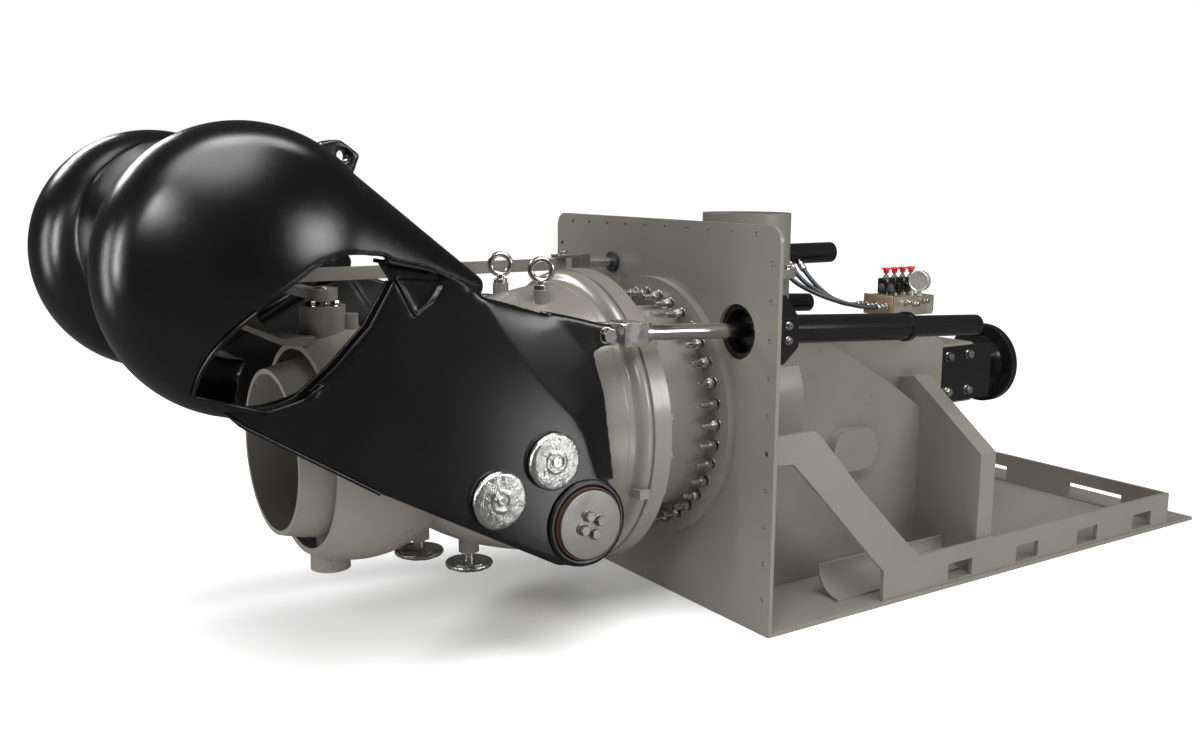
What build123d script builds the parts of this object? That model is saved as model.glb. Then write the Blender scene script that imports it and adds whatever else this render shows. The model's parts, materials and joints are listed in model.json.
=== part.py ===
from build123d import *
import os
from math import cos, sin, radians, degrees, atan2, hypot, sqrt, tan, pi

# Marine waterjet on its transom plate and hull frame.
# The origin is on the pump line at the aft face of the transom plate.
# +X points forward, +Y to port and +Z up. Sizes are in millimetres.

# Transom plate
transom_half_width = 538.0
transom_top = 547.0
transom_bottom = -550.0
transom_t = 12.0
transom_corner_r = 42.0
edge_bolt_pitch = 100.0
edge_bolt_rows = 10
edge_bolt_inset = 30.0
edge_bolt_r = 7.0
top_bolt_z = 522.0
top_bolt_count = 10
top_bolt_pitch = 99.0

# Hull base frame
base_length = 2033.0
base_t = 12.0
rail_inset = 6.0
rail_t = 14.0
rail_h = 110.0
front_rail_inset = 153.0
slot_len = 110.0
slot_h = 62.0
slot_foot = 8.0
knee_x = 860.0
knee_t = 68.0
lip_start_x = 331.0
lip_r = 88.0
lip_wall = 6.0
lip_foot_y = 464.0

# Pump
impeller_r = 250.0
tip_gap = 1.5
housing_wall = 46.0
housing_flange_r = 412.0
flange_t = 24.0
bowl_flange_x = -262.0
wear_ring_t = 6.0
ring_r = 380.0
ring_t = 24.0
stud_circle_r = 332.0
stud_count = 36
stud_r = 9.0
stud_len = 38.0
shaft_r = 40.0
shaft_gap = 0.06
gland_r = 52.0
bowl_end_x = -858.0
bowl_wall = 16.0
bowl_neck_r = 226.0
bowl_bolt_count = 24
bowl_bolt_circle_r = 386.0
hub_r = 150.0
vane_count = 9
blade_count = 5

# Steering nozzle and its housing
steer_x = -1008.0
bulb_x = -945.0
bulb_r = 295.0
bulb_wall = 14.0
bulb_front_x = -792.0
bulb_rim_x = -1078.0
boss_top = 352.0
boss_bottom = -318.0
nozzle_front_x = -958.0
nozzle_front_r = 240.0
nozzle_exit_x = -1150.0
nozzle_exit_r = 204.0
nozzle_wall = 12.0
steer_pin_r = 19.0
bush_wall = 6.0
run_gap = 0.06
tiller_len = 212.0
tiller_z = 372.0
link_h = 35.0
link_t = 14.0
steer_rod_r = 13.5
steer_rod_z = 408.0
steer_clevis_x = -155.0
steer_clevis_len = 110.0
steer_clevis_w = 44.0
steer_barrel_r = 35.0
steer_bore_r = 25.0
link_pin_r = 9.0
steer_barrel_end = 914.0

# Reverse duct and its two cylinders
pivot_x = -512.0
pivot_z = -172.0
pivot_pin_r = 78.0
pivot_bush_wall = 14.0
arm_boss_r = 114.0
arm_y = 430.0
arm_t = 34.0
arm_cap_r = 86.0
arm_cap_t = 22.0
ear_overlap = 6.0
ear_width = 66.0
ear_t = 16.0
ear_r = 30.0
ear_slot_r = 50.0
lobe_x = -1302.0
lobe_y = 372.0
lobe_z = 474.0
lobe_r = 303.0
lobe_half_width = 168.0
lobe_rim_r = 120.9
duct_wall = 16.0
neck_x = -794.0
neck_y = 392.0
neck_z = 423.0
neck_r = 22.0
neck_ease = 4.0
neck_start_half_width = 139.0
neck_end_half_width = 30.0
lobe_reach = 640.0
notch_depth = 12.0
lug_half_width = 25.0
lug_hole_r = 16.0
mouth_r = 885.0
mouth_half_width = 340.0
bridge_x = -1262.0
bridge_z = 505.0
bridge_r = 247.0
clevis_pin_x = -440.0
clevis_pin_z = 285.0
cylinder_y = 375.0
gimbal_x = 75.0
gimbal_z = 259.0
gimbal_ball_r = 59.6
gimbal_gap = 0.4
mount_flats = 190.0
mount_front_x = 137.0
ram_rod_r = 21.0
ram_barrel_r = 40.5
ram_bore_r = 32.0
ram_barrel_len = 590.0
ram_tail_r = 32.5
ram_tail_len = 310.0
transom_hole_r = 75.0
clevis_len = 142.0
clevis_h = 60.0
clevis_w = 78.0
clevis_face = 50.0
ram_tongue_r = 28.0
side_gap = 0.6

# Intake and bearing pedestal
intake_half_width = 270.0
intake_wall = 30.0
intake_end_x = 1049.0
mouth_x0 = 230.0
mouth_x1 = 1010.0
screen_bars = 9
pad_x = 548.0
pad_z = -150.0
pad_len = 187.0
pad_h = 129.0
pad_t = 34.0
pedestal_half_width = 180.0
pedestal_top = 150.0
pedestal_front = 1062.0
bearing_box_len = 228.0
bearing_box_half = 130.0
bearing_box_h = 105.0
bracket_start = 43.0
bracket_len = 255.0
bracket_t = 12.0
bracket_toe_t = 15.0
race_in_r = 62.0
race_out_r = 85.0
drive_face_x = 1510.0
drive_flange_r = 141.5
drive_flange_t = 28.0
drive_bolt_circle_r = 124.0
drive_bolt_r = 8.5
drive_bolt_count = 8

# Small pieces
anode_r = 72.0
anode_t = 24.0
bowl_anode_r = 66.0
eye_x = -449.0
eye_y = 111.0
eye_z = 424.0
eye_turn = 56.0
eye_ring_r = 28.0
eye_wire_r = 8.0
pipe_r = 134.5
pipe_wall = 6.0
pipe_x = 348.0
pipe_top = 559.0
pipe_joint_z = 379.0
neck_foot_z = 140.0
pipe_flange_r = 153.0
pipe_flange_t = 13.0
pipe_bolt_count = 8
manifold_x = 916.0
manifold_len = 190.0
manifold_y = -90.0
manifold_w = 134.0
manifold_z = 212.0
manifold_h = 64.0
button_count = 4
button_pitch = 40.0
button_travel = 5.0
button_r = 14.5
gauge_r = 35.0
hose_r = 7.5
fitting_len = 26.0
port_len = 10.0
hose_drop = 42.5

nodes = {}
housing_bolts = []


def keep(name, shape):
    """Store a finished sub-part under its node name."""
    nodes[name] = shape


def box(x0, x1, y0, y1, z0, z1):
    """A block between six planes."""
    block = Box(x1 - x0, y1 - y0, z1 - z0)
    return Pos((x0 + x1) / 2, (y0 + y1) / 2, (z0 + z1) / 2) * block


def rod_x(r, x0, x1, y=0.0, z=0.0):
    """A round bar along X."""
    return Pos((x0 + x1) / 2, y, z) * Rot(0, 90, 0) * Cylinder(r, x1 - x0)


def rod_y(r, y0, y1, x=0.0, z=0.0):
    """A round bar along Y."""
    return Pos(x, (y0 + y1) / 2, z) * Rot(90, 0, 0) * Cylinder(r, y1 - y0)


def rod_z(r, z0, z1, x=0.0, y=0.0):
    """A round bar along Z."""
    return Pos(x, y, (z0 + z1) / 2) * Cylinder(r, z1 - z0)


def side_plate(outline, y_low, y_high, radius=0.0):
    """Extrude an outline drawn in X and Z between two Y planes."""
    sketch = Polygon(*outline, align=None)
    if radius:
        sketch = fillet(sketch.vertices(), radius)
    return extrude(Plane.XZ.offset(-y_low) * sketch, y_high - y_low, dir=(0, 1, 0))


def front_plate(outline, x_low, x_high, radius=0.0):
    """Extrude an outline drawn in Y and Z between two X planes."""
    sketch = Polygon(*outline, align=None)
    if radius:
        sketch = fillet(sketch.vertices(), radius)
    return extrude(Plane.YZ.offset(x_low) * sketch, x_high - x_low, dir=(1, 0, 0))


def turned_x(outline):
    """Revolve a straight-sided outline of X and radius about the pump line."""
    return revolve(Polygon(*outline, align=None), Axis.X)


def turned_curve(curve_points, end_radius_points):
    """Revolve a smooth outline closed by straight runs about the pump line."""
    edge = Spline(*curve_points)
    rest = Polyline(curve_points[-1], *end_radius_points, curve_points[0])
    return revolve(make_face(edge + rest), Axis.X)


def ring_x(r_out, r_in, x0, x1, y=0.0, z=0.0):
    """A flat ring about an X line."""
    return rod_x(r_out, x0, x1, y, z) - rod_x(r_in, x0 - 1, x1 + 1, y, z)


def ring_y(r_out, r_in, y0, y1, x, z):
    """A flat ring about a Y line."""
    return rod_y(r_out, y0, y1, x, z) - rod_y(r_in, y0 - 1, y1 + 1, x, z)


def hex_bar(across, length):
    """A hexagonal bar along Z, standing on the XY plane."""
    return extrude(RegularPolygon(across / sqrt(3), 6), length)


def group(pieces):
    """Separate solids that share one node."""
    return Compound(children=[p if isinstance(p, Solid) else p.solids()[0] for p in pieces])


def mirror_y(shape):
    """The same piece on the other side."""
    return mirror(shape, about=Plane.XZ)


def pair(shape):
    """A starboard piece and its port twin as separate solids."""
    return group([shape, mirror_y(shape)])


def ring_z(r_out, r_in, z0, z1, x, y):
    """A flat ring about a Z line."""
    return rod_z(r_out, z0, z1, x, y) - rod_z(r_in, z0 - 1, z1 + 1, x, y)


def slanted_plate(low_outline, low_y, high_outline, high_y):
    """Join two outlines in X and Z on two Y planes with straight sides."""
    low = Plane.XZ.offset(-low_y) * Polygon(*low_outline, align=None)
    high = Plane.XZ.offset(-high_y) * Polygon(*high_outline, align=None)
    return loft([low, high], ruled=True)


def shifted(outline, dx, dz):
    """The same outline moved along X and Z."""
    return [(x + dx, z + dz) for x, z in outline]


def transom():
    """Transom plate with its bores and its edge bolt holes."""
    outline = [
        (-transom_half_width, transom_bottom),
        (transom_half_width, transom_bottom),
        (transom_half_width, transom_top),
        (-transom_half_width, transom_top),
    ]
    plate = front_plate(outline, 0, transom_t)
    tops = plate.edges().filter_by(Axis.X).group_by(Axis.Z)[-1]
    plate = fillet(tops, transom_corner_r)
    plate -= rod_x(housing_outer_r, -1, transom_t + 1)
    plate -= rod_x(steer_rod_r + 12, -1, transom_t + 1, tiller_len, steer_rod_z)
    for side in (-1, 1):
        plate -= rod_x(transom_hole_r, -1, transom_t + 1, side * cylinder_y, gimbal_z)
        for row in range(edge_bolt_rows):
            z = (row - (edge_bolt_rows - 1) / 2) * edge_bolt_pitch
            plate -= rod_x(edge_bolt_r, -1, transom_t + 1, side * edge_bolt_y, z)
    for i in range(top_bolt_count):
        y = (i - (top_bolt_count - 1) / 2) * top_bolt_pitch
        plate -= rod_x(edge_bolt_r, -1, transom_t + 1, y, top_bolt_z)
    keep("transom_plate", plate)


def base_plate():
    """Base plate with the intake mouth."""
    plate = box(transom_t, base_length, -transom_half_width, transom_half_width, transom_bottom, floor_top)
    plate -= box(mouth_x0, mouth_x1, -passage_half, passage_half, transom_bottom - 1, floor_top + 1)
    keep("base_plate", plate)


def side_rail():
    """Slotted rail with the diagonal strap to the transom, on the starboard side."""
    rail_top = floor_top + rail_h
    outline = [
        (transom_t, -2),
        (152, -2),
        (176, -21),
        (336, -191),
        (536, -381),
        (592, rail_top),
        (front_rail_x, rail_top),
        (front_rail_x, floor_top),
        (443, floor_top),
        (441, -447),
        (340, -347),
        (172, -176),
        (76, -82),
        (transom_t, -78),
    ]
    rail = side_plate(outline, -rail_outer_y, -rail_inner_y)
    for centre in (775, 1095, 1410, 1722):
        rail -= box(centre - slot_len / 2, centre + slot_len / 2, -rail_outer_y - 1, -rail_inner_y + 1,
                    floor_top + slot_foot, floor_top + slot_h)
    return rail


def hull_frame():
    """Rails, transverse knees and bottom fairings of the hull section."""
    keep("side_rails", pair(side_rail()))
    front = box(front_rail_x - rail_t, front_rail_x, -rail_inner_y, rail_inner_y, floor_top, floor_top + rail_h)
    for y in (-250, 250):
        front -= box(front_rail_x - rail_t - 1, front_rail_x + 1, y - slot_len, y + slot_len,
                     floor_top + slot_foot, floor_top + slot_h)
    keep("front_rail", front)
    outline = [
        (-rail_inner_y, floor_top),
        (-intake_half_width, floor_top),
        (-intake_half_width, -54),
        (-pedestal_half_width, -54),
        (-pedestal_half_width, 30),
        (-240, 42),
        (-rail_inner_y, -160),
    ]
    knee = front_plate(outline, knee_x, knee_x + knee_t)
    keep("knees", pair(knee))
    arc = Pos(-lip_foot_y, floor_top + lip_r) * (Circle(lip_r) - Circle(lip_r - lip_wall))
    corner = Pos(-lip_foot_y + lip_r / 2, floor_top + lip_r / 2) * Rectangle(lip_r, lip_r)
    lip = extrude(Plane.YZ.offset(lip_start_x) * (arc & corner), knee_x - lip_start_x, dir=(1, 0, 0))
    keep("bottom_fairings", pair(lip))


def intake():
    """Cast intake duct with the bearing pedestal, and the inspection neck that stands on its roof."""
    outline = [
        (250, 270),
        (300, 262),
        (455, 181),
        (743, 22),
        (975, -132),
        (985, -160),
        (intake_end_x, floor_top),
        (170, floor_top),
        (120, -290),
        (200, 180),
    ]
    body = side_plate(outline, -intake_half_width, intake_half_width)
    body += rod_x(housing_outer_r, transom_t, 330)
    pedestal = [
        (430, 170),
        (880, pedestal_top),
        (1025, pedestal_top),
        (pedestal_front, 132),
        (pedestal_front, -160),
        (990, -200),
        (900, -150),
        (600, 60),
        (430, 150),
    ]
    body += side_plate(pedestal, -pedestal_half_width, pedestal_half_width)
    neck_tube = rod_z(pipe_r, neck_foot_z, pipe_joint_z, pipe_x)
    neck_tube += rod_z(pipe_flange_r, pipe_joint_z - pipe_flange_t, pipe_joint_z, pipe_x)
    neck_tube -= body
    keep("inspection_neck", neck_tube - rod_z(pipe_r - pipe_wall, neck_foot_z - 1, pipe_joint_z + 1, pipe_x))
    passage = [
        (110, 240),
        (290, 228),
        (440, 150),
        (725, -6),
        (945, -152),
        (mouth_x1, floor_top - 2),
        (mouth_x0, floor_top - 2),
        (150, -250),
    ]
    body -= side_plate(passage, -passage_half, passage_half)
    body -= rod_x(bore_r, transom_t - 1, 200)
    body -= rod_x(gland_r, 300, pedestal_front + 1)
    body -= rod_z(pipe_r - pipe_wall, 180, pipe_joint_z + 1, pipe_x)
    pad = Pos(pad_x, -intake_half_width, pad_z) * Rot(90, 0, 0) * extrude(SlotOverall(pad_len, pad_h), pad_t)
    body += pad
    body += mirror_y(pad)
    keep("intake_duct", body)

    screen = box(mouth_x0, mouth_x1, -passage_half, passage_half, transom_bottom + 2, floor_top - 1)
    screen -= box(mouth_x0 + 14, mouth_x1 - 14, -passage_half + 12, passage_half - 12, transom_bottom, floor_top)
    for i in range(screen_bars):
        y = (i - (screen_bars - 1) / 2) * 2 * passage_half / (screen_bars + 1)
        screen += box(mouth_x0 + 1, mouth_x1 - 1, y - 5, y + 5, transom_bottom + 2, floor_top - 1)
    keep("intake_screen", screen)


def pump_housing():
    """Impeller housing, transom ring, studs and wear ring."""
    front_x = bowl_flange_x + flange_t
    housing = ring_x(housing_outer_r, bore_r + wear_ring_t, bowl_flange_x, transom_t)
    housing += ring_x(housing_flange_r, housing_outer_r - 1, bowl_flange_x, front_x)
    keep("impeller_housing", housing)
    keep("wear_ring", ring_x(bore_r + wear_ring_t, bore_r, bowl_flange_x, transom_t))
    keep("transom_ring", ring_x(ring_r, housing_outer_r, -ring_t, 0))
    studs = []
    for i in range(stud_count):
        a = radians(i * 360 / stud_count)
        place = Pos(-ring_t, stud_circle_r * cos(a), stud_circle_r * sin(a)) * Rot(0, -90, 0)
        nut = hex_bar(28, 15) + Cylinder(stud_r, stud_len, align=(Align.CENTER, Align.CENTER, Align.MIN))
        studs.append(place * nut)
    keep("ring_studs", group(studs))
    bolts = []
    for i in range(bowl_bolt_count):
        a = radians((i + 0.5) * 360 / bowl_bolt_count)
        place = Pos(front_x, bowl_bolt_circle_r * cos(a), bowl_bolt_circle_r * sin(a)) * Rot(0, 90, 0)
        bolts.append(place * hex_bar(27, 13))
    keep("bowl_flange_bolts", group(bolts))


def bowl():
    """Stator bowl: outer casting, hub and guide vanes in one piece."""
    outer = [(-300, 386), (-449, 360), (-600, 322), (-720, 268), (bulb_front_x, bowl_neck_r), (bowl_end_x, 205)]
    inner = [(x, r - bowl_wall) for x, r in outer]
    body = turned_curve(outer, [(bowl_end_x, 0), (-300, 0)])
    body += turned_x([(bowl_flange_x, 0), (bowl_flange_x, housing_flange_r), (-290, housing_flange_r),
                      (-292, 392), (-312, 392), (-312, 0)])
    cavity = turned_curve([(bowl_flange_x + 1, 258), (-300, 330), inner[1], inner[2], inner[3], inner[4],
                           (bowl_end_x - 1, 193)], [(bowl_end_x - 1, 0), (bowl_flange_x + 1, 0)])
    body -= cavity
    hub = turned_curve([(bowl_flange_x, hub_r), (-400, hub_r), (-560, 118), (-700, 60), (-760, 16)],
                       [(-760, 0), (bowl_flange_x, 0)])
    vane = Pos(-430, 0, 235) * Rot(0, 0, 14) * Box(270, 10, 330)
    body += hub
    for i in range(vane_count):
        body += (Rot(i * 360 / vane_count, 0, 0) * vane) & cavity
    body -= rod_x(tail_bearing_r, -430, bowl_flange_x + 1)
    for side in (-1, 1):
        low, high = sorted((side * 290, side * pin_root_y))
        body += rod_y(arm_boss_r - 22, low, high, pivot_x, pivot_z) - cavity
        body += rod_z(22, 320, 372, eye_x, side * eye_y) - cavity
    body += box(-330, -300, -402, -330, -150, -126) - cavity
    for x, z in bowl_anode_places:
        body += rod_z(28, z, -200, x) - cavity
    keep("stator_bowl", body)
    keep("tail_bearing", ring_x(tail_bearing_r, shaft_r + shaft_gap, -425, bowl_flange_x - 8))


def bulb_solid(r, x_low, x_high):
    """The part of the bulb's sphere between two X planes."""
    rise_low = sqrt(r ** 2 - (x_low - bulb_x) ** 2)
    rise_high = sqrt(r ** 2 - (x_high - bulb_x) ** 2)
    arc = ThreePointArc((x_low, rise_low), (bulb_x, r), (x_high, rise_high))
    rest = Polyline((x_high, rise_high), (x_high, 0), (x_low, 0), (x_low, rise_low))
    return revolve(make_face(arc + rest), Axis.X)


def nozzle_housing():
    """Bulb-shaped shell that carries the steering pins."""
    hollow_r = bulb_r - bulb_wall
    lip_x = bulb_front_x - 14
    hollow = bulb_solid(hollow_r, bulb_rim_x - 50, lip_x)
    shell = bulb_solid(bulb_r, bulb_rim_x, bulb_front_x)
    shell += rod_z(56, 250, boss_top, steer_x)
    shell += rod_z(20, 250, 330, steer_x + 62, -22)
    shell += rod_z(50, boss_bottom, -240, steer_x)
    shell += side_plate([(-1060, 262), (-1130, 268), (-1205, 306), (-1205, 318), (-1130, 284), (-1050, 284)],
                        -60, 60)
    shell -= hollow
    shell -= rod_x(bowl_neck_r, lip_x - 1, bulb_front_x + 1)
    shell -= rod_z(steer_bush_r, boss_bottom - 1, 0, steer_x)
    shell -= rod_z(steer_bush_r, 0, boss_top + 1, steer_x)
    shell += side_plate([(-1135, 276), (-1205, 312), (-1185, 350)], -7, 7)
    keep("nozzle_housing", shell)
    upper = ring_z(steer_bush_r, steer_pin_r + run_gap, 276, boss_top, steer_x, 0)
    lower = ring_z(steer_bush_r, steer_pin_r + run_gap, boss_bottom, -276, steer_x, 0)
    keep("steering_bushes", group([upper, lower]))
    for a in (30, 120, 210, 300):
        place = Pos(steer_x + 40 * cos(radians(a)), 40 * sin(radians(a)), boss_top)
        housing_bolts.append(place * hex_bar(19, 11))


def steering_nozzle():
    """Steerable nozzle with its two vertical pins."""
    curve_out = [(nozzle_front_x, nozzle_front_r), (-1050, 226), (nozzle_exit_x, nozzle_exit_r)]
    curve_in = [(x, r - nozzle_wall) for x, r in curve_out]
    body = turned_curve(curve_out, [(nozzle_exit_x, 0), (nozzle_front_x, 0)])
    body += rod_z(34, 200, 262, steer_x) + rod_z(34, -262, -200, steer_x)
    cavity = turned_curve([(nozzle_front_x + 1, curve_in[0][1]), curve_in[1],
                           (nozzle_exit_x - 1, curve_in[2][1])],
                          [(nozzle_exit_x - 1, 0), (nozzle_front_x + 1, 0)])
    body -= cavity
    keep("steering_nozzle", body)
    upper = rod_z(steer_pin_r, 262, tiller_z + 26, steer_x)
    lower = rod_z(steer_pin_r, boss_bottom + 1, -262, steer_x)
    keep("steering_pins", group([upper, lower]))


def steering_gear():
    """Tiller, link, rod and hydraulic cylinder of the steering."""
    low = tiller_z - 8
    hub = rod_z(38, low, tiller_z + 22, steer_x)
    arm = box(steer_x - 20, steer_x + 20, 0, tiller_len, low, tiller_z + 14)
    arm += rod_z(24, low, tiller_z + 14, steer_x, tiller_len)
    tiller = hub + arm - rod_z(steer_pin_r, low - 1, tiller_z + 30, steer_x)
    keep("tiller", tiller)
    link_top = steer_rod_z + link_h / 2
    link_low = steer_rod_z - link_h / 2
    pin = rod_z(link_pin_r, tiller_z + 14, link_top + 8, steer_x, tiller_len)
    pin += rod_z(link_pin_r + 5, link_top + side_gap, link_top + 10, steer_x, tiller_len)
    keep("tiller_pin", pin)
    link = box(steer_x, steer_clevis_x - 20, tiller_len - link_t / 2, tiller_len + link_t / 2, link_low, link_top)
    link += rod_z(18, link_low, link_top, steer_x, tiller_len)
    link -= rod_z(link_pin_r + run_gap, link_low - 1, link_top + 1, steer_x, tiller_len)
    keep("steering_link", link)
    half = steer_clevis_w / 2
    tall = half + 6
    front = steer_clevis_x + steer_clevis_len / 2
    back = steer_clevis_x - steer_clevis_len / 2
    fork = box(back, front, tiller_len - half, tiller_len + half, steer_rod_z - tall, steer_rod_z + tall)
    slot_half = link_h / 2 + side_gap
    fork -= box(back - 1, steer_clevis_x + 18, tiller_len - half - 1, tiller_len + half + 1,
                steer_rod_z - slot_half, steer_rod_z + slot_half)
    fork -= rod_x(steer_rod_r, front - 20, front + 1, tiller_len, steer_rod_z)
    keep("steering_fork", fork)
    cap_x = steer_clevis_x - 25
    cap_low = rod_z(13, steer_rod_z - tall - 8, steer_rod_z - tall, cap_x, tiller_len)
    cap_high = rod_z(13, steer_rod_z + tall, steer_rod_z + tall + 10, cap_x, tiller_len)
    keep("steering_fork_pin", group([cap_low, cap_high]))
    piston_x = 463.0
    rod = rod_x(steer_rod_r, front - 20, piston_x, tiller_len, steer_rod_z)
    rod += rod_x(steer_bore_r - run_gap, piston_x - 30, piston_x, tiller_len, steer_rod_z)
    keep("steering_rod", rod)
    barrel = rod_x(steer_barrel_r, transom_t, steer_barrel_end, tiller_len, steer_rod_z)
    barrel += rod_x(52, transom_t, transom_t + 18, tiller_len, steer_rod_z)
    barrel -= rod_x(steer_bore_r, 60, steer_barrel_end - 20, tiller_len, steer_rod_z)
    barrel -= rod_x(steer_rod_r + run_gap, transom_t - 1, 61, tiller_len, steer_rod_z)
    for x in steer_port_places:
        port = Cylinder(11, port_len + 6, align=(Align.CENTER, Align.CENTER, Align.MAX))
        barrel += Pos(x, port_y, port_z) * Rot(135, 0, 0) * port
    keep("steering_cylinder", barrel)


def octagon(half):
    """Corner points of a regular octagon of a given half width."""
    cut = half * tan(radians(22.5))
    return [
        (-cut, -half), (cut, -half), (half, -cut), (half, cut),
        (cut, half), (-cut, half), (-half, cut), (-half, -cut),
    ]


def along_ram(shape):
    """Turn a piece drawn along X at the gimbal into the line of the starboard ram."""
    slope = degrees(atan2(clevis_pin_z - gimbal_z, gimbal_x - clevis_pin_x))
    return Pos(gimbal_x, -cylinder_y, gimbal_z) * Rot(0, slope, 0) * shape


def reverse_rams():
    """Two hydraulic rams that swing in gimbals and lower the duct."""
    reach = hypot(clevis_pin_x - gimbal_x, clevis_pin_z - gimbal_z)
    half = mount_flats / 2
    block = front_plate(octagon(half), transom_t, mount_front_x)
    block = Pos(0, -cylinder_y, gimbal_z) * block
    block -= rod_x(gimbal_ball_r + gimbal_gap, 0, mount_front_x + 1, -cylinder_y, gimbal_z)
    keep("ram_mounts", pair(block))
    for z in (gimbal_z - 20, gimbal_z + 20):
        head = Pos(100, -cylinder_y - half, z) * Rot(90, 0, 0) * hex_bar(17, 8)
        housing_bolts.extend([head, mirror_y(head)])
    ball = Sphere(gimbal_ball_r) & rod_x(100, -28, 28)
    barrel = rod_x(ram_barrel_r, -30, ram_barrel_len) + ball
    barrel += rod_x(ram_barrel_r + 4, ram_barrel_len - 18, ram_barrel_len)
    barrel += rod_x(ram_tail_r, ram_barrel_len, ram_barrel_len + ram_tail_len)
    barrel -= rod_x(ram_bore_r, 10, ram_barrel_len - 20)
    barrel -= rod_x(ram_rod_r + run_gap, -40, 60)
    keep("ram_barrels", pair(along_ram(barrel)))
    piston_x = ram_barrel_len - 60
    rod_start = -reach + clevis_len - 20
    rod = rod_x(ram_rod_r, rod_start, piston_x)
    rod += rod_x(ram_bore_r - run_gap, piston_x - 36, piston_x)
    keep("ram_rods", pair(along_ram(rod)))
    head = box(-reach + clevis_face, rod_start, -clevis_w / 2, clevis_w / 2, -clevis_h / 2, clevis_h / 2)
    head = fillet(head.edges().filter_by(Axis.Y), 10)
    tongue_half = ear_width / 2 - ear_t - side_gap
    head += rod_y(ram_tongue_r, -tongue_half, tongue_half, -reach, 0)
    head += box(-reach, -reach + clevis_face + 1, -tongue_half, tongue_half, -ram_tongue_r, ram_tongue_r)
    head += ring_x(27, ram_rod_r, rod_start, rod_start + 26)
    keep("ram_eyes", pair(along_ram(head)))
    heads = []
    for side in (-1, 1):
        nut = Pos(-reach, side * ear_width / 2, 0) * Rot(-90 * side, 0, 0) * hex_bar(42, 16)
        heads += [along_ram(nut), mirror_y(along_ram(nut))]
    keep("ram_pin_heads", group(heads))


def spheroid(shrink):
    """A round body flattened along Y, at the origin, from a rim arc between two cap arcs."""
    rim_c = lobe_r - lobe_rim_r
    cap_r = (rim_c ** 2 + lobe_half_width ** 2 - lobe_rim_r ** 2) / (2 * (lobe_half_width - lobe_rim_r))
    cap_c = cap_r - lobe_half_width
    turn = atan2(cap_c, rim_c)
    middle = (turn + radians(90)) / 2
    pole = lobe_half_width - shrink
    join = (rim_c + (lobe_rim_r - shrink) * cos(turn), (lobe_rim_r - shrink) * sin(turn))
    cap = ((cap_r - shrink) * cos(middle), (cap_r - shrink) * sin(middle) - cap_c)
    outline = ThreePointArc((0, pole), cap, join)
    outline += ThreePointArc(join, (lobe_r - shrink, 0), (join[0], -join[1]))
    outline += ThreePointArc((join[0], -join[1]), (cap[0], -cap[1]), (0, -pole))
    return revolve(make_face(outline + Line((0, -pole), (0, pole))), Axis.Y)


def lobe(side, shrink):
    """One of the two round bodies of the duct in its place."""
    return Pos(lobe_x, side * lobe_y, lobe_z) * spheroid(shrink)


def neck(shrink):
    """Tapered neck that runs from just inside the port lobe's round down to the top of the arm."""
    run_x = neck_x - lobe_x
    run_z = neck_z - lobe_z
    run = hypot(run_x, run_z)
    axis = Vector(run_x / run, 0, run_z / run)
    taper = (lobe_r - neck_r) / run
    narrow = sqrt(1 - taper ** 2)
    sections = []
    for centre_x, centre_y, centre_z, r, half_width in (
        (lobe_x, lobe_y, lobe_z, lobe_r - neck_ease - shrink, neck_start_half_width - shrink),
        (neck_x, neck_y, neck_z, neck_r - shrink, neck_end_half_width - shrink),
    ):
        origin = Vector(centre_x, centre_y, centre_z) + axis * (r * taper)
        plane = Plane(origin=origin, x_dir=(-axis.Z, 0, axis.X), z_dir=axis)
        sections.append(plane * Ellipse(r * narrow, half_width))
    return loft(sections, ruled=True)


def curved_plate(curve_points, rest_points, y_low, y_high):
    """Extrude an outline in X and Z, a smooth curve closed by straight runs, between two Y planes."""
    curve = Spline(*[(x, z) for x, z in curve_points])
    rest = Polyline(curve_points[-1], *rest_points, curve_points[0])
    return extrude(Plane.XZ.offset(-y_low) * make_face(curve + rest), y_high - y_low, dir=(0, 1, 0))


def duct_shell():
    """Twin-lobed shell with tapered necks, open to the jet in front and at each side."""
    far_neck = mirror_y(neck(0))
    outer = lobe(-1, 0) + lobe(1, 0) + neck(0) + far_neck
    outer += rod_y(bridge_r, -lobe_y, lobe_y, bridge_x, bridge_z)
    inner = lobe(-1, duct_wall) + lobe(1, duct_wall) + neck(duct_wall) + mirror_y(neck(duct_wall))
    inner += rod_y(bridge_r - duct_wall, -lobe_y, lobe_y, bridge_x, bridge_z)
    shell = outer - inner
    shell -= rod_y(mouth_r, -mouth_half_width, mouth_half_width, pivot_x, pivot_z)
    opening = curved_plate(exit_lip, [(-1040, 470)] + arm_hollow + [(-1290, 190)], arm_inner - 40, lobe_reach)
    shell -= opening
    shell -= mirror_y(opening)
    under = side_plate([(-1200, 200), (-1060, 496), (-936, 469), (-867, 437), (-795, 401), (-640, 184)],
                       arm_y, lobe_reach)
    shell -= under
    shell -= mirror_y(under)
    return shell


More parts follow.
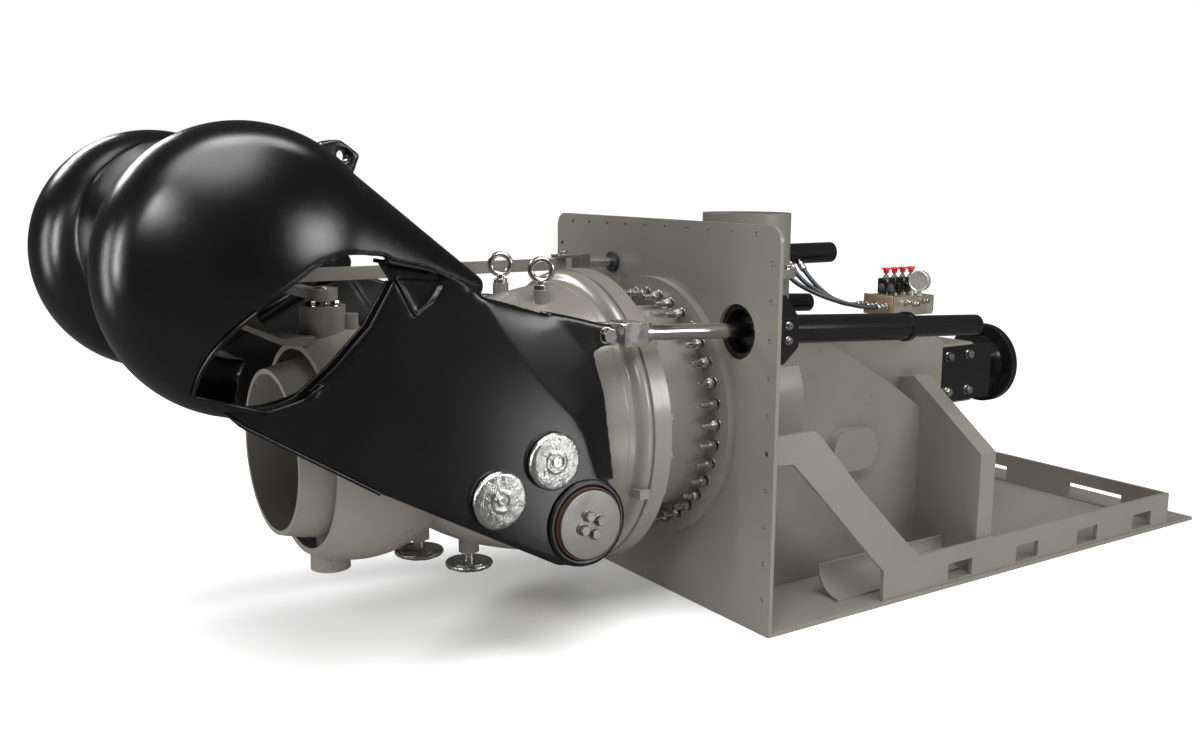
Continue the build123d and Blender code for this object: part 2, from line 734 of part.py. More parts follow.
def duct_arm():
    """Port side arm: skin, slanted front face and the forked ear of the ram."""
    ridge = [(-795, 401), (-718, 283), (-640, 184), (-556, 100), (-521, 48), (-484, -60)]
    front = [(-682, 373), (-529, 335), (-455, 250), (-428, 144), (-412, 6), (-402, -90)]
    skin = [
        (-420, -105), (-404, pivot_z), (pivot_x, pivot_z - arm_boss_r + 4), (-589, -270), (-1050, -19),
        (-1338, 162), (-1400, 214), (-1290, 186),
    ] + arm_hollow[::-1] + [(-1037, 489), (-936, 469), (-867, 437)] + ridge
    arm = side_plate(skin, arm_inner, arm_y)
    arm += rod_y(arm_boss_r, arm_inner, arm_y, pivot_x, pivot_z)
    low = shifted(ridge, -ear_overlap, 0) + front[::-1]
    high = shifted(ridge, -ear_overlap, 0) + shifted(ridge, 4, 0)[::-1]
    arm += slanted_plate(low, ear_high - ear_overlap, high, arm_y)
    outer_ear = shifted(ridge[:4], -ear_overlap, 0) + [
        (-440, 160), (-452, 255), (clevis_pin_x, clevis_pin_z), (-448, 314), (-529, 335), (-682, 373),
    ]
    arm += side_plate(outer_ear, ear_high - ear_t, ear_high)
    inner_ear = [(-600, 352), (-529, 335), (-448, 314), (clevis_pin_x, clevis_pin_z), (-452, 257), (-570, 215)]
    arm += side_plate(inner_ear, ear_low, ear_high)
    arm += rod_y(ear_r, ear_low, ear_high, clevis_pin_x, clevis_pin_z)
    arm -= rod_y(ear_slot_r, ear_low + ear_t, ear_high - ear_t, clevis_pin_x, clevis_pin_z)
    arm -= box(clevis_pin_x, clevis_pin_x + 2 * ear_slot_r, ear_low + ear_t, ear_high - ear_t,
               clevis_pin_z - 2 * ear_slot_r, clevis_pin_z + ear_slot_r)
    arm -= side_plate([(-1002, 452), (-947, 349), (-884, 440)], arm_y - notch_depth, arm_y + 1)
    arm -= rod_y(pivot_pin_r + pivot_bush_wall, arm_inner - 1, arm_y + 1, pivot_x, pivot_z)
    return arm


def reverse_duct():
    """Hollow twin-lobed duct with its two side arms and its central splitter."""
    duct = duct_shell()
    arm = duct_arm()
    duct += arm
    duct += mirror_y(arm)
    splitter = rod_y(bridge_r - duct_wall + 2, -9, 9, bridge_x, bridge_z)
    splitter -= rod_y(mouth_r, -20, 20, pivot_x, pivot_z)
    duct += splitter
    tongue = [(-1170, 735), (-1050, 700), (-925, 645), (-925, 628), (-1050, 680), (-1160, 712)]
    duct += side_plate(tongue, -80, 80)
    lug = side_plate([(-1046, 690), (-1000, 748), (-958, 753), (-907, 717), (-938, 640)],
                     -lug_half_width, lug_half_width, 8)
    duct += lug - rod_y(lug_hole_r, -lug_half_width - 1, lug_half_width + 1, -952, 713)
    keep("reverse_duct", duct)


def duct_fittings():
    """Pivot pins, bushes, caps and anodes of the duct."""
    pin = rod_y(pivot_pin_r, -arm_y, -pin_root_y, pivot_x, pivot_z)
    keep("duct_pivot_pins", pair(pin))
    bush = ring_y(pivot_pin_r + pivot_bush_wall, pivot_pin_r + run_gap, -arm_y, -arm_inner, pivot_x, pivot_z)
    keep("duct_bushes", pair(bush))
    cap = rod_y(arm_cap_r, -arm_y - arm_cap_t, -arm_y - side_gap, pivot_x, pivot_z)
    cap += rod_y(pivot_pin_r - 20, -arm_y - side_gap - 1, -arm_y, pivot_x, pivot_z)
    keep("pivot_caps", pair(cap))
    bolts = []
    for a in (20, 110, 200, 290):
        x = pivot_x + 25 * cos(radians(a))
        z = pivot_z + 25 * sin(radians(a))
        bolt = Pos(x, -arm_y - arm_cap_t, z) * Rot(90, 0, 0) * hex_bar(24, 12)
        bolts += [bolt, mirror_y(bolt)]
    keep("pivot_cap_bolts", group(bolts))
    anodes = []
    for x, z in ((-610, -3), (-758, -76)):
        disc = rod_y(anode_r, -arm_y - anode_t, -arm_y, x, z)
        disc = chamfer(disc.edges().group_by(Axis.Y)[0], 8)
        disc -= rod_y(18, -arm_y - anode_t - 1, -arm_y - anode_t + 8, x, z)
        anodes += [disc, mirror_y(disc)]
    keep("duct_anodes", group(anodes))


def bowl_fittings():
    """Eyebolts and underside anodes on the bowl."""
    eyes = []
    for side in (-1, 1):
        ring = Torus(eye_ring_r, eye_wire_r)
        eye = Pos(eye_x, side * eye_y, eye_z) * Rot(0, 0, eye_turn) * Rot(0, 90, 0) * ring
        eye += rod_z(19, 372, 384, eye_x, side * eye_y)
        eye += rod_z(10, 383, eye_z - eye_ring_r, eye_x, side * eye_y)
        eyes.append(eye)
    keep("lifting_eyes", group(eyes))
    anodes = []
    for x, z in bowl_anode_places:
        anodes.append(rod_z(bowl_anode_r, z - 46, z - 26, x) + rod_z(15, z - 27, z, x))
    keep("bowl_anodes", group(anodes))


def shaft_line():
    """Impeller, shaft, bearings, seals and drive flange."""
    hub = turned_curve([(-252, hub_r - 2), (-160, 128), (-60, 92), (-20, 70)], [(-20, 0), (-252, 0)])
    impeller = hub
    band = rod_x(impeller_r, -245, -40)
    for i in range(blade_count):
        blade = Pos(-145, 0, 168) * Rot(0, 0, 32) * Box(180, 12, 190)
        impeller += (Rot(i * 360 / blade_count, 0, 0) * blade) & band
    impeller -= rod_x(shaft_r, -300, 0)
    keep("impeller", impeller)
    shaft_end = drive_face_x - 60
    keep("main_shaft", rod_x(shaft_r, -420, shaft_end))
    box_end = pedestal_front + bearing_box_len
    body = box(pedestal_front, box_end, -bearing_box_half, bearing_box_half, -bearing_box_h, bearing_box_h)
    body = fillet(body.edges().filter_by(Axis.X), 26)
    body -= rod_x(race_out_r, pedestal_front + 30, box_end - 20)
    body -= rod_x(gland_r, pedestal_front - 1, box_end + 1)
    keep("bearing_housing", body)
    race_x0 = pedestal_front + 60
    race_x1 = pedestal_front + 100
    keep("bearing_inner_ring", ring_x(race_in_r, shaft_r, race_x0, race_x1))
    keep("bearing_outer_ring", ring_x(race_out_r, race_in_r + run_gap, race_x0, race_x1))
    shaft_seal = ring_x(gland_r, shaft_r + 0.5, pedestal_front - 40, pedestal_front + 20)
    rod_seal = ring_x(31, steer_rod_r + 0.5, -10, 0, tiller_len, steer_rod_z)
    keep("shaft_and_rod_seals", group([shaft_seal, rod_seal]))
    flange = rod_x(drive_flange_r, drive_face_x - drive_flange_t, drive_face_x)
    flange += turned_x([(drive_face_x - 130, 0), (drive_face_x - 130, 58), (drive_face_x - 50, 64),
                        (drive_face_x - drive_flange_t, 96), (drive_face_x - drive_flange_t, 0)])
    for i in range(drive_bolt_count):
        a = radians(i * 360 / drive_bolt_count)
        flange -= rod_x(drive_bolt_r, drive_face_x - drive_flange_t - 1, drive_face_x + 1,
                        drive_bolt_circle_r * cos(a), drive_bolt_circle_r * sin(a))
    flange -= rod_x(72, drive_face_x - 8, drive_face_x + 1)
    flange -= rod_x(shaft_r, drive_face_x - 131, shaft_end)
    keep("drive_flange", flange)
    plate_y = -bearing_box_half
    plate_x = pedestal_front + bracket_start
    plate_end = plate_x + bracket_len
    plates = box(plate_x, plate_end, plate_y - bracket_t, plate_y, -90, 100)
    plates += box(plate_end - bracket_toe_t, plate_end, plate_y - 1, -75, -60, 70)
    keep("coupling_brackets", pair(plates))
    for x in (plate_x + 35, plate_x + 138):
        for z in (-55, 68):
            bolt = Pos(x, plate_y - bracket_t, z) * Rot(90, 0, 0) * hex_bar(26, 12)
            housing_bolts.extend([bolt, mirror_y(bolt)])


def inspection_pipe():
    """Vertical inspection pipe with the flange that stands on the intake neck."""
    pipe = ring_z(pipe_r, pipe_r - pipe_wall, pipe_joint_z, pipe_top, pipe_x, 0)
    pipe += ring_z(pipe_flange_r, pipe_r - 1, pipe_joint_z, pipe_joint_z + pipe_flange_t, pipe_x, 0)
    keep("inspection_pipe", pipe)
    for i in range(pipe_bolt_count):
        a = radians((i + 0.5) * 360 / pipe_bolt_count)
        r = (pipe_r + pipe_flange_r) / 2
        place = Pos(pipe_x + r * cos(a), r * sin(a), pipe_joint_z + pipe_flange_t)
        housing_bolts.append(place * hex_bar(15, 10))


def valve_manifold():
    """Hydraulic manifold with gauge, solenoids and push buttons."""
    x0 = manifold_x
    x1 = x0 + manifold_len
    y1 = manifold_y + manifold_w
    top_z = manifold_z + manifold_h
    block = box(x0, x1, manifold_y, y1, manifold_z, top_z)
    block += box(x0 + 10, x0 + 100, manifold_y + 20, y1 - 20, pedestal_top, manifold_z)
    keep("valve_block", block)
    row_y = manifold_y + 82
    coil_top = top_z + 66
    fittings = []
    coils = box(x0 + 26, x1 - 4, row_y - 22, row_y + 22, top_z, coil_top)
    caps = []
    for i in range(button_count):
        x = x0 + 46 + i * button_pitch
        coils -= rod_z(5 + run_gap, top_z + 40, coil_top + 1, x, row_y)
        cap = rod_z(button_r, coil_top + button_travel + 1, coil_top + button_travel + 21, x, row_y)
        cap += rod_z(5, coil_top - 12, coil_top + button_travel + 2, x, row_y)
        keep("push_button_%d" % (i + 1), cap)
    fittings.append(coils)
    for i in range(2):
        fittings.append(rod_z(11, top_z, top_z + 40, x0 + 14, manifold_y + 30 + 40 * i))
        fittings.append(rod_x(17, x1, x1 + 22, manifold_y + 40 + 50 * i, fitting_z))
    for y in fitting_places:
        fittings.append(rod_x(13, x0 - fitting_len, x0, y, fitting_z))
    keep("valve_fittings", group(fittings))
    gauge_x = x0 + 118
    gauge = rod_y(gauge_r, manifold_y - 16, manifold_y + 12, gauge_x, top_z + 50)
    gauge += rod_z(7, top_z, top_z + 20, gauge_x, manifold_y + 4)
    keep("pressure_gauge", gauge)


def hose(name, points):
    """A round hose along straight runs joined by tangent arcs."""
    runs = [Vector(b) - Vector(a) for a, b in zip(points, points[1:])]
    radii = []
    for before, after in zip(runs, runs[1:]):
        half_turn = radians(before.get_angle(after)) / 2
        radii.append(0.45 * min(before.length, after.length) / tan(half_turn))
    path = FilletPolyline(*points, radius=radii)
    tube = sweep(Plane(path @ 0, z_dir=path % 0) * Circle(hose_r), path=path)
    keep(name, tube)
    share = tube.volume / (pi * hose_r ** 2 * path.length)
    print(name, "radii", [round(r) for r in radii], "length", round(path.length), "volume share", round(share, 4))


def hoses():
    """Hydraulic hoses from the ports of the steering cylinder to the manifold."""
    end_x = manifold_x - fitting_len
    back, middle, front = steer_port_places
    y_first, y_second, y_third = fitting_places
    drop_y = port_y - hose_drop
    drop_z = port_z - hose_drop
    hose("hose_1", [(back, port_y, port_z), (back, drop_y, drop_z), (back + 30, 54, 292),
                    (back + 90, -18, 262), (end_x - 66, y_first, fitting_z), (end_x, y_first, fitting_z)])
    hose("hose_2", [(middle, port_y, port_z), (middle, drop_y, drop_z), (middle + 22, 72, 294),
                    (middle + 70, 14, 260), (end_x - 60, y_second, fitting_z), (end_x, y_second, fitting_z)])
    hose("hose_3", [(front, port_y, port_z), (front, drop_y + 7, drop_z + 7), (front + 13, 95, 296),
                    (front + 43, 49, 258), (end_x - 50, y_third, fitting_z), (end_x, y_third, fitting_z)])


floor_top = transom_bottom + base_t
rail_outer_y = transom_half_width - rail_inset
rail_inner_y = rail_outer_y - rail_t
front_rail_x = base_length - front_rail_inset
edge_bolt_y = transom_half_width - edge_bolt_inset
passage_half = intake_half_width - intake_wall
bore_r = impeller_r + tip_gap
housing_outer_r = bore_r + housing_wall
tail_bearing_r = shaft_r + 14
steer_bush_r = steer_pin_r + bush_wall
arm_inner = arm_y - arm_t
pin_root_y = arm_inner - side_gap - 8
arm_hollow = [(-1006, 443), (-1064, 349), (-1144, 269), (-1222, 208)]
exit_lip = [(-1443, 240), (-1413, 334), (-1346, 400), (-1261, 458), (-1190, 498), (-1130, 507), (-1044, 499)]
ear_low = cylinder_y - ear_width / 2
ear_high = cylinder_y + ear_width / 2
bowl_anode_places = ((-763, -285), (-615, -345))
steer_port_places = (655, 700, 745)
port_y = tiller_len - (steer_barrel_r + port_len) * cos(radians(45))
port_z = steer_rod_z - (steer_barrel_r + port_len) * sin(radians(45))
fitting_places = (-65, -20, 25)
fitting_z = manifold_z + manifold_h / 2

transom()
base_plate()
hull_frame()
intake()
pump_housing()
bowl()
nozzle_housing()
steering_nozzle()
steering_gear()
reverse_rams()
reverse_duct()
duct_fittings()
bowl_fittings()
shaft_line()
inspection_pipe()
valve_manifold()
hoses()
keep("housing_bolts", group(housing_bolts))

os.makedirs("parts", exist_ok=True)
for name, shape in nodes.items():
    export_step(shape, "parts/" + name + ".step")
print(len(nodes), "nodes")
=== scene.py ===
import json
from math import cos, pi, radians, sin

import bmesh
import bpy
from bpy.props import FloatProperty, FloatVectorProperty, IntProperty, PointerProperty
from mathutils import Matrix, Vector, noise

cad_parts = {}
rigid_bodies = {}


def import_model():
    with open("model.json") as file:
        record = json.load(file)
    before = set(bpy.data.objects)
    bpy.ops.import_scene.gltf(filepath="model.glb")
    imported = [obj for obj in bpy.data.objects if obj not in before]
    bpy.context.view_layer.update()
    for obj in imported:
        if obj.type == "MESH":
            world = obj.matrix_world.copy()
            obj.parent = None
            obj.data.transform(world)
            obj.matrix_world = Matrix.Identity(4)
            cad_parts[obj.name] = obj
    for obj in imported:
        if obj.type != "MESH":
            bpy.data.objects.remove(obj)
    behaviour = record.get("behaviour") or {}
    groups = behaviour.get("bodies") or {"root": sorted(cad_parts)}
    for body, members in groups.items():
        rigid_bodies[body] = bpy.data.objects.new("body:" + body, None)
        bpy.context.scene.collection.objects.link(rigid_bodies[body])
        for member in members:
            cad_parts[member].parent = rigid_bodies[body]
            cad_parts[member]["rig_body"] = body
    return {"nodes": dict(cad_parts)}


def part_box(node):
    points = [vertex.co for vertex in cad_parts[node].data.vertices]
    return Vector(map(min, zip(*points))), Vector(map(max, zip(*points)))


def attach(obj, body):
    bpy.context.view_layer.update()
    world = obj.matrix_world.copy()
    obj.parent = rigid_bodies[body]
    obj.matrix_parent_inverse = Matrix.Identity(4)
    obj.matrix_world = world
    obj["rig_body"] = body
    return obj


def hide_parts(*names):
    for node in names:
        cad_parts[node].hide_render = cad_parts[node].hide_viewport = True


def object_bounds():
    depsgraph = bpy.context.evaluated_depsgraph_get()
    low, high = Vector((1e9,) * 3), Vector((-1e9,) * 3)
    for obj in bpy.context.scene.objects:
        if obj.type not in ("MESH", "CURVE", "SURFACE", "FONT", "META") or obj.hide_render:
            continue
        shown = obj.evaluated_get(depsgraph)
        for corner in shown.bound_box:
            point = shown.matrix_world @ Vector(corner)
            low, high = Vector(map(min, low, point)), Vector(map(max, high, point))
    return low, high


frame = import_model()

bl_info = {
    "name": "Marine Waterjet",
    "version": (1, 0, 0),
    "blender": (4, 5, 0),
    "location": "3D View > Sidebar > Waterjet",
    "description": "Finishes, castings, fasteners, hoses and studio of a marine waterjet",
    "category": "Object",
}

# Lengths are in metres, unless a comment says otherwise. A profile is a row of (radius, height).

CAD_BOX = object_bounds()
# The slots as packed, before the nodes get their finishes here
SLOTS = {name: obj.data.materials[0].name.split(".")[0] for name, obj in frame["nodes"].items()}
MM = 0.001
SAME_PLACE = 1e-5  # corners of a CAD mesh that are closer than this are one corner
AFT, FORWARD = Vector((-1, 0, 0)), Vector((1, 0, 0))
STARBOARD, UP = Vector((0, -1, 0)), Vector((0, 0, 1))

# What the properties for colours and for lengths share
COLOUR = dict(subtype="COLOR", size=3, min=0, max=1)
LENGTH = dict(subtype="DISTANCE", unit="LENGTH")


class WaterjetColours(bpy.types.PropertyGroup):
    """Base colours of the finishes, in linear light."""

    casting: FloatVectorProperty(
        name="Casting paint", description="Warm grey paint on the pump castings",
        default=(0.15, 0.141, 0.125), **COLOUR)
    frame_paint: FloatVectorProperty(
        name="Frame paint", description="Warm grey paint on the plates and rails",
        default=(0.15, 0.141, 0.126), **COLOUR)
    duct: FloatVectorProperty(
        name="Duct paint", description="Black paint of the reverse duct",
        default=(0.0022, 0.0022, 0.0025), **COLOUR)
    black_steel: FloatVectorProperty(
        name="Black steel", description="Black enamel on cylinders, mounts and brackets",
        default=(0.0055, 0.0055, 0.006), **COLOUR)
    stainless: FloatVectorProperty(
        name="Stainless steel", description="Forks, nuts, bolts and eyes",
        default=(0.56, 0.545, 0.52), **COLOUR)
    chrome: FloatVectorProperty(
        name="Ground chrome", description="Piston rods and shafts",
        default=(0.66, 0.64, 0.61), **COLOUR)
    zinc: FloatVectorProperty(
        name="Zinc", description="Sacrificial anodes",
        default=(0.54, 0.54, 0.53), **COLOUR)
    bronze: FloatVectorProperty(
        name="Bronze", description="Bearing bushes",
        default=(0.048, 0.02, 0.012), **COLOUR)
    aluminium: FloatVectorProperty(
        name="Milled aluminium", description="Body of the valve block",
        default=(0.48, 0.44, 0.36), **COLOUR)
    end_plate: FloatVectorProperty(
        name="End plates", description="Tan end plates of the valve block",
        default=(0.27, 0.185, 0.115), **COLOUR)
    rubber: FloatVectorProperty(
        name="Hose rubber", description="Cover of the hydraulic hoses and seals",
        default=(0.016, 0.018, 0.022), **COLOUR)
    button: FloatVectorProperty(
        name="Button red", description="Moulded caps of the hand valves",
        default=(0.55, 0.012, 0.012), **COLOUR)


class WaterjetStudio(bpy.types.PropertyGroup):
    """Camera and studio."""

    camera_place: FloatVectorProperty(
        name="Camera place", description="Where the camera stands",
        subtype="XYZ", unit="LENGTH", size=3, default=(-2.0307, -2.7664, 0.6789))
    yaw: FloatProperty(
        name="Yaw", description="Direction of view about the vertical, from forward to port",
        subtype="ANGLE", default=radians(56.331))
    pitch: FloatProperty(
        name="Pitch", description="Direction of view above the horizon",
        subtype="ANGLE", default=radians(-9.502))
    roll: FloatProperty(
        name="Roll", description="Turn about the direction of view",
        subtype="ANGLE", default=radians(0.366))
    lens: FloatProperty(
        name="Lens", description="Focal length on a 36 mm wide sensor",
        subtype="DISTANCE_CAMERA", unit="CAMERA", default=35.247)
    floor_size: FloatProperty(
        name="Floor size", description="Side of the square floor",
        default=60.0, min=5.0, **LENGTH)
    world_light: FloatProperty(
        name="World light", description="Strength of the even light from all sides",
        default=0.21, min=0)
    sun_light: FloatProperty(
        name="Sun light", description="Strength of the broad light from above", default=3.3, min=0)


class WaterjetSizes(bpy.types.PropertyGroup):
    """Sizes of what is made here and isn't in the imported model."""

    edge_radius: FloatProperty(
        name="Edge radius", description="Small rounding that every machined or welded edge shows",
        default=0.0016, min=0, **LENGTH)
    duct_voxel: FloatProperty(
        name="Duct grain", description="Fineness of the duct's cast surface",
        default=0.005, min=0.004, **LENGTH)
    rim_radius: FloatProperty(
        name="Rim radius", description="Radius of the round rim along the duct's openings",
        default=0.0045, min=0.001, **LENGTH)
    hose_radius: FloatProperty(
        name="Hose radius", description="Outer radius of the hydraulic hoses",
        default=0.0075, min=0.002, **LENGTH)
    washer_rim: FloatProperty(
        name="Washer rim", description="How far a washer stands out past its hexagon's flats",
        default=0.0035, min=0, **LENGTH)
    washer_height: FloatProperty(
        name="Washer height", description="Thickness of the washers",
        default=0.0025, min=0, **LENGTH)
    bowl_anode_height: FloatProperty(
        name="Bowl anode height", description="Thickness of the discs under the bowl",
        default=0.02, min=0.005, **LENGTH)
    gauge_turn: FloatProperty(
        name="Gauge turn", description="Direction that the gauge faces, from aft to starboard",
        subtype="ANGLE", default=radians(17))
    hammer_depth: FloatProperty(
        name="Hammer depth", description="Depth of the cast dimples in the zinc",
        default=0.0012, min=0, **LENGTH)
    seed: IntProperty(name="Seed", description="Seed of the turned fasteners", default=7)


def sizes():
    return bpy.context.scene.waterjet_sizes


# Nodes, of materials, of the world and of the fasteners

def feed(tree, node, values):
    """Give a node's inputs their values, each a constant or another node's socket."""
    for key, value in values.items():
        if isinstance(value, bpy.types.NodeSocket):
            tree.links.new(value, node.inputs[key])
        else:
            node.inputs[key].default_value = value
    return node


def node_in(tree, kind, values=None, **settings):
    """One node with its settings and the values of its inputs."""
    node = tree.nodes.new(kind)
    for key, value in settings.items():
        setattr(node, key, value)
    return feed(tree, node, values or {})


# Materials

COLOUR_A, COLOUR_B, COLOUR_OUT = 6, 7, 2  # the Mix node's sockets for colours
# Edges get a painted highlight: full below the first cosine, none above the second
HIGHLIGHT_FULL, HIGHLIGHT_NONE = 0.8, 0.995  # cosines between plain and rounded normal


def noise_at(tree, scale, detail, stretch=None):
    """A noise on object coordinates; stretch squeezes it along an axis."""
    place = node_in(tree, "ShaderNodeTexCoord").outputs["Object"]
    if stretch:
        mapping = node_in(tree, "ShaderNodeMapping", {"Vector": place, "Scale": stretch})
        place = mapping.outputs["Vector"]
    texture = node_in(tree, "ShaderNodeTexNoise",
                      {"Vector": place, "Scale": scale, "Detail": detail})
    return texture.outputs["Fac"]


def spread(tree, value, low, high, start=0.3, end=0.7):
    """Map a value between start and end, where most of a noise lies, to a range."""
    span = node_in(tree, "ShaderNodeMapRange", {
        "Value": value, "From Min": start, "From Max": end, "To Min": low, "To Max": high})
    return span.outputs["Result"]


def tint(tree, value, first, second):
    """Mix two colours by a value; either may be a socket."""
    mix = node_in(tree, "ShaderNodeMix", {"Factor": value, COLOUR_A: first, COLOUR_B: second},
                  data_type="RGBA")
    return mix.outputs[COLOUR_OUT]


def scaled(colour, factor):
    """A colour made lighter or darker, with its alpha."""
    return (*(min(1.0, c * factor) for c in colour[:3]), 1.0)


def by_ray(tree, kind, usual, chosen):
    """One shader for a kind of ray and another for all the rest."""
    path = node_in(tree, "ShaderNodeLightPath")
    mix = node_in(tree, "ShaderNodeMixShader", {0: path.outputs[kind], 1: usual, 2: chosen})
    return mix.outputs[0]


def finish(name, colour, roughness, metallic=0.0, mottle=0.07, mottle_scale=5.0, rough_spread=0.06,
           grain_scale=420.0, grain=0.08, grain_depth=0.0004, edge=None, coat=0.0,
           coat_roughness=0.1, specular=0.5, stretch=None, edge_highlight=1.0):
    """A procedural finish: mottled colour, uneven gloss, fine grain, rounded and lighter edges.

    The scales are cells per metre, edge is the radius of the rounding, the edge highlight is how
    much lighter than the rest an edge is painted, as a painted highlight, and stretch squeezes the
    grain along an axis.
    """
    material = bpy.data.materials.new(name)
    material.use_nodes = True
    tree = material.node_tree
    cloud = noise_at(tree, mottle_scale, 4.0)
    base = tint(tree, spread(tree, cloud, 0.0, 1.0), scaled(colour, 1 - mottle),
                scaled(colour, 1 + mottle))
    radius = sizes().edge_radius if edge is None else edge
    corner = node_in(tree, "ShaderNodeBevel", {"Radius": radius}, samples=4).outputs["Normal"]
    # Painted highlight: the rounded edges are painted lighter than the rest of the surface
    if edge_highlight != 1.0:
        plain = node_in(tree, "ShaderNodeNewGeometry").outputs["Normal"]
        turn = node_in(tree, "ShaderNodeVectorMath", {0: plain, 1: corner},
                       operation="DOT_PRODUCT")
        rim = spread(tree, turn.outputs["Value"], 1.0, 0.0, HIGHLIGHT_FULL, HIGHLIGHT_NONE)
        base = tint(tree, rim, base, scaled(colour, edge_highlight))
    fine = noise_at(tree, grain_scale, 2.0, stretch)
    bump = node_in(tree, "ShaderNodeBump", {
        "Strength": grain, "Distance": grain_depth, "Height": fine, "Normal": corner})
    feed(tree, tree.nodes["Principled BSDF"], {
        "Base Color": base,
        "Metallic": metallic,
        "Roughness": spread(tree, cloud, roughness - rough_spread, roughness + rough_spread),
        "Normal": bump.outputs["Normal"],
        "Specular IOR Level": specular,
        "Coat Weight": coat,
        "Coat Roughness": coat_roughness,
    })
    return material


# Each finish: its colour, a factor on that colour, its roughness and what else it needs.
# The edge factor that some finishes are given paints their edges lighter, as a painted highlight
FINISHES = {
    "grey_casting": ("casting", 1.0, 0.3, dict(mottle=0.05, rough_spread=0.04, grain_scale=260.0,
        grain=0.1, edge_highlight=1.3, coat=0.35, coat_roughness=0.16)),
    "frame_paint": ("frame_paint", 1.0, 0.34, dict(mottle=0.04, rough_spread=0.04,
        grain_scale=300.0, edge_highlight=1.35, coat=0.2, coat_roughness=0.2)),
    "black_paint": ("duct", 1.0, 0.21, dict(mottle=0.2, mottle_scale=3.0, rough_spread=0.03,
        grain_scale=520.0, grain=0.34, grain_depth=0.0006, edge=0.004)),
    "black_steel": ("black_steel", 1.0, 0.18, dict(mottle=0.15, rough_spread=0.03,
        grain_scale=350.0, grain=0.1, edge_highlight=3.0)),
    "cap_steel": ("stainless", 0.34, 0.34, dict(metallic=0.85, mottle=0.06, mottle_scale=20.0,
        grain_scale=500.0, edge_highlight=2.0, edge=0.0022)),
    "bright_steel": ("stainless", 1.0, 0.24, dict(metallic=1.0, mottle=0.08, mottle_scale=30.0,
        grain_scale=900.0, grain=0.06, edge_highlight=1.2)),
    "plated_steel": ("stainless", 0.85, 0.3, dict(metallic=1.0, mottle=0.1, mottle_scale=24.0,
        grain_scale=700.0, grain=0.06, edge_highlight=1.2)),
    "ground_chrome": ("chrome", 1.0, 0.15, dict(metallic=1.0, mottle=0.04, rough_spread=0.03,
        grain_scale=160.0, grain=0.05, stretch=(20.0, 1.0, 1.0))),
    "zinc": ("zinc", 1.0, 0.24, dict(metallic=1.0, mottle=0.14, mottle_scale=40.0,
        rough_spread=0.08, grain_scale=230.0, grain=0.75, grain_depth=0.0016, edge=0.003)),
    "bronze": ("bronze", 1.0, 0.38, dict(metallic=0.35, mottle=0.12, mottle_scale=40.0,
        grain=0.05)),
    "black_rubber": ("rubber", 1.0, 0.46, dict(mottle=0.12, mottle_scale=20.0, grain_scale=900.0,
        grain=0.15)),
    "block_aluminium": ("aluminium", 1.0, 0.34, dict(metallic=0.85, mottle=0.08,
        mottle_scale=30.0, grain_scale=600.0, edge_highlight=1.2)),
    "tan_plate": ("end_plate", 1.0, 0.4, dict(metallic=0.25, mottle=0.1, mottle_scale=25.0,
        grain=0.05)),
    "gauge_case": ("stainless", 1.25, 0.38, dict(metallic=0.8, mottle=0.06, mottle_scale=60.0,
        grain=0.04)),
    "red_plastic": ("button", 1.0, 0.3, dict(mottle=0.06, mottle_scale=60.0, grain=0.06,
        coat=0.3)),
}
MADE = {}


def finish_named(name):
    """The finish of that name, made the first time it is asked for."""
    if name not in MADE:
        colour, factor, roughness, settings = FINISHES[name]
        base = scaled(getattr(bpy.context.scene.waterjet_colours, colour), factor)
        MADE[name] = finish(name, base, roughness, **settings)
    return MADE[name]


# Meshes

def body_of(node):
    return frame["nodes"][node]["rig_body"]


def slot_of(node):
    """The record's material slot of a CAD node."""
    return SLOTS[node]


def box_of(node):
    """Lowest and highest corner of a CAD node."""
    low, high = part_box(node)
    return Vector(low), Vector(high)


def linked(name, data):
    """A new object in the scene."""
    piece = bpy.data.objects.new(name, data)
    bpy.context.scene.collection.objects.link(piece)
    return piece


def mesh_from(working, name):
    """A mesh that can be linked, from a working mesh, which is freed."""
    data = bpy.data.meshes.new(name)
    working.to_mesh(data)
    working.free()
    return data


def merged(node):
    """A merged working copy of a CAD node's mesh."""
    mesh = bmesh.new()
    mesh.from_mesh(frame["nodes"][node].data)
    bmesh.ops.remove_doubles(mesh, verts=mesh.verts, dist=SAME_PLACE)
    return mesh


def shown(holder):
    """A working object as it stands with its modifiers or its bevel."""
    bpy.context.view_layer.update()
    return holder.evaluated_get(bpy.context.evaluated_depsgraph_get())


def baked(holder, kind, name):
    """The mesh that a working object shows; the object and its data, of that kind, are removed."""
    mesh = bpy.data.meshes.new_from_object(shown(holder))
    data = holder.data
    holder.modifiers.clear()
    bpy.data.objects.remove(holder)
    kind.remove(data)
    mesh.name = name
    return mesh


def solids_of(node):
    """Lowest and highest corner of each separate solid of a CAD node."""
    mesh = merged(node)
    seen = set()
    boxes = []
    for start in mesh.verts:
        if start in seen:
            continue
        seen.add(start)
        heap = [start]
        found = []
        while heap:
            vert = heap.pop()
            found.append(vert.co)
            for edge in vert.link_edges:
                other = edge.other_vert(vert)
                if other not in seen:
                    seen.add(other)
                    heap.append(other)
        low = Vector([min(place[i] for place in found) for i in range(3)])
        high = Vector([max(place[i] for place in found) for i in range(3)])
        boxes.append((low, high))
    mesh.free()
    return boxes


def add_piece(name, mesh, body, finish_name, replaces=()):
    """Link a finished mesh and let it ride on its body."""
    piece = linked(name, mesh)
    mesh.materials.clear()
    mesh.materials.append(finish_named(finish_name))
    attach(piece, body)
    if replaces:
        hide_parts(*replaces)


